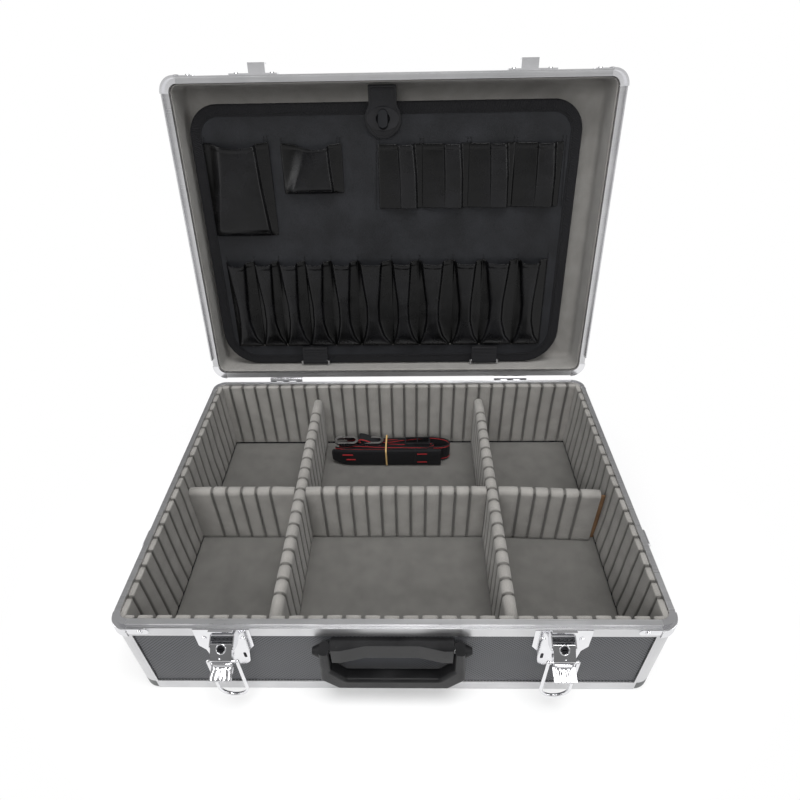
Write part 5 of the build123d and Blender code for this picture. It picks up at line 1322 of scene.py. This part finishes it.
sewn = stamped("retaining_tongue_stitches", *seam_points([line], FACE, 2.7), 1.9, 0.55, 0.6, thread)
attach(sewn, "strap")
print("retaining strap:", len(strap.data.polygons), "faces, reach", round(REACH, 1))

# %% [markdown]
# ## Folded shoulder strap
# The strap lies on edge in the middle bay: a long pad in front, and black webbing with
# red edge stripes folded behind it in soft loops, all held by one rubber band. Each
# layer is an upright ribbon along a line drawn in plan.

# %% Webbing layers with red edges
def upright_tape(name, plan, height, middle, thickness=1.5, tilt=0.0):
    """Webbing on edge along a plan line of (x, y) points, with two red stripes that run
    near its edges and show on both faces."""
    line = smooth_line(np.array([(x, y, middle) for x, y in plan], float), 3.0)
    line[:, 2] += 0.6 * waves(line[:, 0], line[:, 1], len(name), 60.0)
    across = (0.0, tilt, 1.0)
    made = [ribbon(name, line, across, height, thickness, black_webbing)]
    for word, shift in (("upper", height / 2 - 2.1), ("lower", 2.1 - height / 2)):
        moved = line + np.array([0, tilt * shift, shift])
        made.append(ribbon(f"{name}_{word}_stripe", moved, across, 1.5, thickness + 0.5, red_edge))
    for piece in made:
        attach(piece, "shoulder_bundle")
    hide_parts("shoulder_strap")
    return made


# Name, line in plan, height of the band and height of its middle above the floor plane.
FOLDS = [
    ("strap_big_loop",
     [(-58, 121), (-20, 118.5), (25, 118), (50, 117), (64, 119), (67, 126), (60, 133), (40, 136),
      (12, 133), (-14, 128), (-44, 127)], 23.0, 25.0),
    ("strap_inner_fold",
     [(-30, 124.5), (10, 123), (34, 122.5), (46, 124), (47, 128), (36, 129.5), (5, 127),
      (-34, 130.5), (-70, 131), (-79, 127), (-74, 122), (-50, 124)], 20.5, 23.2),
    ("strap_outer_fold",
     [(-80, 119), (-70, 116.5), (-30, 115.6), (10, 115.4), (44, 115.2)], 22.5, 24.2),
    ("strap_back_fold", [(-66, 134), (-30, 135.5), (0, 136.8), (24, 137.2)], 21.0, 23.0),
]
layers = [piece for fold in FOLDS for piece in upright_tape(*fold)]
print("webbing layers:", len(layers))

# %% Small loop at the adjuster
loop_line = smooth_line(
    [(-18, 127, 31), (-30, 127, 37), (-42, 127.5, 42.5), (-49, 128, 44), (-51.5, 128, 41),
     (-46, 127.5, 36.5), (-34, 127, 32), (-24, 126.5, 29)], 1.6)
small_loop = ribbon("strap_small_loop", loop_line, (0, 1, 0.1), 13.0, 1.3, black_webbing)
loop_edges = [ribbon(f"strap_small_loop_stripe_{word}", loop_line + np.array([0, shift, 0]),
                     (0, 1, 0.1), 1.4, 1.8, red_edge)
              for word, shift in (("front", -5.2), ("back", 5.2))]
for piece in [small_loop] + loop_edges:
    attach(piece, "shoulder_bundle")
print("small loop:", len(loop_line), "points")

# %% Shoulder pad
UPRIGHT = (0, 0, 1)
pad_line = smooth_line(
    [(-83, 117.0, 24.2), (-76, 112.5, 24.3), (-62, 110.9, 24.5), (-20, 110.5, 24.6),
     (20, 110.5, 24.6), (52, 110.6, 24.6)], 3.0)
narrow = np.clip(0.62 + (pad_line[:, 0] + 84) / 42.0, 0.62, 1.0)
strap_pad = ribbon("shoulder_pad_cushion", pad_line, UPRIGHT, 24.4, 4.2, pad_cloth,
                   crown=0.35, taper=narrow)
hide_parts("shoulder_pad")
cuff = ribbon("shoulder_pad_cuff", along_line([(37, 110.6, 24.6), (53.5, 110.7, 24.6)], 2.0),
              UPRIGHT, 25.0, 4.9, black_webbing)
trims = [ribbon("shoulder_pad_cross_tape",
                along_line([(20.5, 110.5, 24.6), (22.5, 110.5, 24.6)], 1.0),
                UPRIGHT, 24.6, 4.9, black_webbing)]
# Red marks on the pad: where each starts and ends in x, and its height.
MARKS = [("right_upper", 23.5, 36.0, 31.8), ("right_lower", 23.5, 36.0, 18.2),
         ("left_upper", -70.0, -57.0, 30.5), ("left_lower", -66.0, -54.0, 22.5)]
for word, first, last, z in MARKS:
    mark_line = along_line([(first, 108.35, z), (last, 108.3, z)], 2.0)
    trims.append(ribbon(f"pad_stripe_{word}", mark_line, UPRIGHT, 1.7, 0.9, red_edge))
seam = [np.array([(x, 108.25, z) for x in np.linspace(-60, 36, 30)]) for z in (16.2, 33.2)]
trims.append(stamped("shoulder_pad_stitches", *seam_points(seam, (0, -1, 0), 3.0),
                     2.2, 0.6, 0.5, thread))
for piece in [strap_pad, cuff] + trims:
    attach(piece, "shoulder_bundle")
print("pad and", len(trims), "trims")

# %% Rubber band
ring = rounded_outline([(107.7, 11.8), (139.3, 11.8), (139.3, 37.5), (107.7, 37.5)], 3.0, 7)
ring = resampled(ring, 3.0)
bow = 0.5 * np.sin(np.linspace(0, 2 * math.pi, len(ring)))
band_line = np.stack([-15.0 + bow, ring[:, 0], ring[:, 1]], -1)
band = ribbon("rubber_band", band_line, (1, 0, 0), 1.9, 0.9, rubber, closed=True)
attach(band, "shoulder_bundle")
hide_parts("strap_band")
print("band:", len(band.data.polygons), "faces")

# %% [markdown]
# ## Pinked edge of the panels
# Where the dark sheet meets the aluminium, its punched edge shows as a row of small black
# teeth. They are stamped along the edge of each wall like stitches.

# %% Teeth along the panels
def wall_teeth(name, half, place_point, out, body, low, high):
    """Rows of black teeth along the foot, the top and both ends of one wall, 2.9 mm apart."""
    corners = [(-half, low), (half, low), (half, high), (-half, high), (-half, low)]
    lines = [np.array([place_point(*a), place_point(*b)])
             for a, b in zip(corners[:-1], corners[1:])]
    made = stamped(name, *seam_points(lines, out, 2.9), 1.9, 1.7, 0.5, handle_plastic)
    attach(made, body)
    return made


for word, y, out in (("front", -163.85, (0, -1, 0)), ("back", 163.85, (0, 1, 0))):
    wall_teeth(f"teeth_base_{word}", 212.6, lambda t, z: (t, y, z), out, "base", 13.4, 89.7)
for word, x, out in (("left", -228.85, (-1, 0, 0)), ("right", 228.85, (1, 0, 0))):
    wall_teeth(f"teeth_base_{word}", 147.6, lambda t, z: (x, t, z), out, "base", 13.4, 89.7)
print("teeth on four base walls")
# %% [markdown]
# ## Fluted thumb tabs of the latches
# Each lever ends in a pressed tab with five flutes that flares towards its scalloped tip.
# It is a flattened tube along the lever: ring t has half width w(t), half thickness h(t)
# and a front face that rises and falls with the cosine of the flutes.

# %% Thumb tabs and lock bezels
LEVER_TURN = math.radians(47.0)
LEVER_OUT = np.array([0.0, -math.cos(LEVER_TURN), math.sin(LEVER_TURN)])
LEVER_UP = np.array([0.0, math.sin(LEVER_TURN), math.cos(LEVER_TURN)])
TAB_LINE = [
    (0.2, -12.2), (-2.4, -14.4), (-2.9, -16.6), (-2.0, -19.2), (-0.1, -22.4), (1.5, -25.0),
    (2.3, -26.3),
]
TAB_HALF = [8.75, 8.3, 7.9, 8.2, 8.9, 9.2, 9.0]
TAB_THICK = [3.4, 2.2, 1.75, 1.75, 1.85, 1.75, 1.4]


def lever_point(side, across, out, up):
    """A point on a raised lever: middle of its pivot plus three steps, in mm."""
    pivot = np.array([side * 137.5, -171.5, 86.5])
    return (pivot + np.multiply.outer(across, SIDE) + np.multiply.outer(out, LEVER_OUT)
            + np.multiply.outer(up, LEVER_UP))


def thumb_tab(side, name):
    """Fluted tab: ring point at angle a is (w * cos a, h * sin a * (1 + 0.42 f)), with
    f = cos(5 pi x / w) on the front face and 0 behind."""
    share = np.linspace(0, 1, 30)
    knots = np.linspace(0, 1, len(TAB_HALF))
    middle = smooth_line(np.column_stack([np.array(TAB_LINE), np.zeros(len(TAB_LINE))]), 0.5)[:, :2]
    at = np.linspace(0, 1, len(middle))
    out, up = (np.interp(share, at, middle[:, k]) for k in range(2))
    half, thick = (np.interp(share, knots, table) for table in (TAB_HALF, TAB_THICK))
    a = np.linspace(0, 2 * math.pi, 73)
    wide = np.sign(np.cos(a)) * np.abs(np.cos(a)) ** 0.8
    deep = np.sign(np.sin(a)) * np.abs(np.sin(a)) ** 0.55
    wave = np.cos(5 * math.pi * wide)[None]
    flute = np.clip((share - 0.3) / 0.25, 0, 1)[:, None] * wave * (deep > 0)
    slope = np.stack([np.gradient(out), np.gradient(up)], -1)
    slope /= np.linalg.norm(slope, axis=1, keepdims=True)
    rise = thick[:, None] * deep[None] * (1 + 0.34 * flute)
    tip = 0.5 * np.clip((share - 0.85) / 0.15, 0, 1)[:, None] * wave
    grid = lever_point(side, half[:, None] * wide[None],
                       out[:, None] - slope[:, 1:] * rise + slope[:, :1] * tip,
                       up[:, None] + slope[:, :1] * rise + slope[:, 1:] * tip)
    made = surface("thumb_tab_" + name, ends_closed(grid, 3, 0.5))
    made.data.materials.append(chrome)
    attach(made, "lever_" + name)
    return made


def lock_bezel(side, name):
    """A rolled ring round the key barrel: a small circle turned about the barrel's axis."""
    turn, roll = np.meshgrid(np.linspace(0, 2 * math.pi, 49), np.linspace(0, 2 * math.pi, 13),
                             indexing="ij")
    radius = 3.75 + 0.5 * np.cos(roll)
    grid = lever_point(side, radius * np.cos(turn), 3.5 + 0.5 * np.sin(roll),
                       -1.8 + radius * np.sin(turn))
    made = surface("lock_bezel_" + name, grid)
    made.data.materials.append(chrome)
    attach(made, "lever_" + name)
    return made


for side, name in ((-1, "left"), (1, "right")):
    tab = thumb_tab(side, name)
    bezel = lock_bezel(side, name)
print("thumb tab:", len(tab.data.polygons), "faces, bezel:", len(bezel.data.polygons))

# %% [markdown]
# ## Ribs of the pressed corners
# The plated caps on the rim's corners are pressed in four ribs. One shell for each corner
# turns a small section round the corner's upright axis; its outer side is ribbed.

# %% Corner ribs
RIB_TURN = np.linspace(0, math.pi / 2, 22)
RIB_AXIS = (215.0, 150.0)               # the corners' upright axes, from the middle
RIB_BACK, RIB_FRONT = 15.6, 16.15       # radii of the shell's back and of the grooves
RIB_START, RIB_TALL = 4.4, 10.2         # first edge, below the rim's top, and height


def corner_ribs(name, body, corner, drawn_to):
    """Shell round one corner: section point s is (RIB_FRONT + 0.6 sin^2(4 pi s), height s),
    closed behind at radius RIB_BACK, turned through 90 degrees about the corner's axis."""
    sign_x, sign_y = corner
    s = np.linspace(0, 1, 49)
    front = np.stack([RIB_FRONT + 0.6 * np.sin(4 * math.pi * s) ** 2, RIB_START + RIB_TALL * s], -1)
    back = [[RIB_BACK, RIB_START + RIB_TALL], [RIB_BACK, RIB_START]]
    section = np.concatenate([front, back, front[:1]])
    x = sign_x * (RIB_AXIS[0] + section[:, 0][None] * np.cos(RIB_TURN)[:, None])
    y = sign_y * (RIB_AXIS[1] + section[:, 0][None] * np.sin(RIB_TURN)[:, None])
    grid = drawn_to(x, y, section[:, 1][None] + 0 * x)
    made = surface(name, ends_closed(grid, 2))
    made.data.materials.append(chrome)
    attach(made, body)
    return made


def in_base(x, y, below):
    """A point of the base, given by its distance below the rim's top."""
    return np.stack([x, y, RIM_TOP - below], -1)


for k, corner in enumerate([(1, 1), (1, -1), (-1, -1), (-1, 1)]):
    ribs_base = corner_ribs(f"corner_ribs_base_{k}", "base", corner, in_base)
    corner_ribs(f"corner_ribs_lid_{k}", "lid", corner,
                lambda x, y, depth: in_lid(x, y + LID_MIDDLE[1], depth))
print("corner ribs:", len(ribs_base.data.polygons), "faces each")

# %% [markdown]
# ## Floor, background and light
# The case stands on a plain pale floor under four soft area lamps in a white room. Far
# from the case the floor is white to the camera and to reflections; near it, it's a matt
# floor that takes the shadow. The room is white to the camera and to rays through clear
# things. Reflections see the white only low down: above that they see a darker ceiling,
# which also gives the room's own light, so that the metal shows light and dark.

# %% Floor
def pale_floor():
    """A flat disc of four rings, far wider than the camera can see."""
    radius = np.array([0.0, 0.6, 2.0, 6.0, 40.0]) * 1000
    turn = np.linspace(0, 2 * math.pi, 49)
    x = radius[:, None] * np.cos(turn)
    y = radius[:, None] * np.sin(turn)
    grid = np.stack([x, y, np.full_like(x, -0.3)], -1)
    return surface("pale_floor", grid, outward=False, smooth=False)


floor = pale_floor()
floor_paint = bpy.data.materials.new("pale_floor_paint")
floor_paint.use_nodes = True
tree = floor_paint.node_tree
tree.nodes.clear()
matt = add(tree, "ShaderNodeBsdfDiffuse", Color=(0.92, 0.92, 0.92, 1.0))
shine = add(tree, "ShaderNodeEmission", Color=(1.0, 1.0, 1.0, 1.0), Strength=1.0)
path = add(tree, "ShaderNodeLightPath")
geometry = add(tree, "ShaderNodeNewGeometry")
squeezed = add(tree, "ShaderNodeVectorMath", {"operation": "MULTIPLY"},
               i0=geometry.outputs["Position"], i1=(1.0, 1.35, 0.0))
far = add(tree, "ShaderNodeVectorMath", {"operation": "LENGTH"}, i0=squeezed.outputs[0])
fade = ramp(tree, far.outputs["Value"], 0.20, 0.42)
seen = any_of(tree, path.outputs["Is Camera Ray"], path.outputs["Is Glossy Ray"],
              path.outputs["Is Transmission Ray"])
mixed = add(tree, "ShaderNodeMixShader", Fac=times(tree, fade, seen),
            i1=matt.outputs[0], i2=shine.outputs[0])
tree.links.new(mixed.outputs[0], add(tree, "ShaderNodeOutputMaterial").inputs["Surface"])
floor.data.materials.append(floor_paint)
print("floor radius", 40, "m")

# %% Room and lamps
world = bpy.data.worlds.new("white_room")
bpy.context.scene.world = world
world.use_nodes = True
tree = world.node_tree
tree.nodes.clear()
path = add(tree, "ShaderNodeLightPath")
towards = add(tree, "ShaderNodeTexCoord").outputs["Generated"]
ray = add(tree, "ShaderNodeSeparateXYZ", Vector=towards)
backdrop = ramp(tree, ray.outputs[2], 0.10, 0.34, 1.0, 0.0)
shining = times(tree, path.outputs["Is Glossy Ray"], backdrop)
seen = any_of(tree, path.outputs["Is Camera Ray"], shining, path.outputs["Is Transmission Ray"])
ceiling = ramp(tree, ray.outputs[2], 0.25, 0.75, 0.04, 0.34)
strength = math_node(tree, "MAXIMUM", ceiling, seen)
room = add(tree, "ShaderNodeBackground", Color=(1.0, 1.0, 1.0, 1.0), Strength=strength)
tree.links.new(room.outputs[0], add(tree, "ShaderNodeOutputWorld").inputs["Surface"])


def softbox(name, place_at, look_at, size, power):
    """A rectangular area lamp at a place, turned to look at a point."""
    lamp = bpy.data.lights.new(name, "AREA")
    lamp.shape = "RECTANGLE"
    lamp.size, lamp.size_y = size
    lamp.energy = power
    made = bpy.data.objects.new(name, lamp)
    away = np.asarray(place_at, float) - np.asarray(look_at, float)
    flat = math.hypot(away[0], away[1])
    made.rotation_euler = (math.atan2(flat, away[2]), 0.0, math.atan2(away[0], -away[1]))
    made.location = place_at
    bpy.context.scene.collection.objects.link(made)
    return made


front = softbox("front_softbox", (-0.35, -1.6, 1.25), (0, 0, 0.2), (1.3, 0.7), 17.0)
front.visible_glossy = False
softbox("top_softbox", (0.15, -0.35, 1.9), (0, 0.0, 0.1), (1.2, 0.9), 25.0)
softbox("left_softbox", (-1.6, -0.3, 0.9), (0, 0, 0.2), (0.7, 1.0), 6.0)
softbox("right_softbox", (1.6, -0.5, 0.9), (0, 0, 0.15), (0.7, 1.0), 6.0)
print("four softboxes")
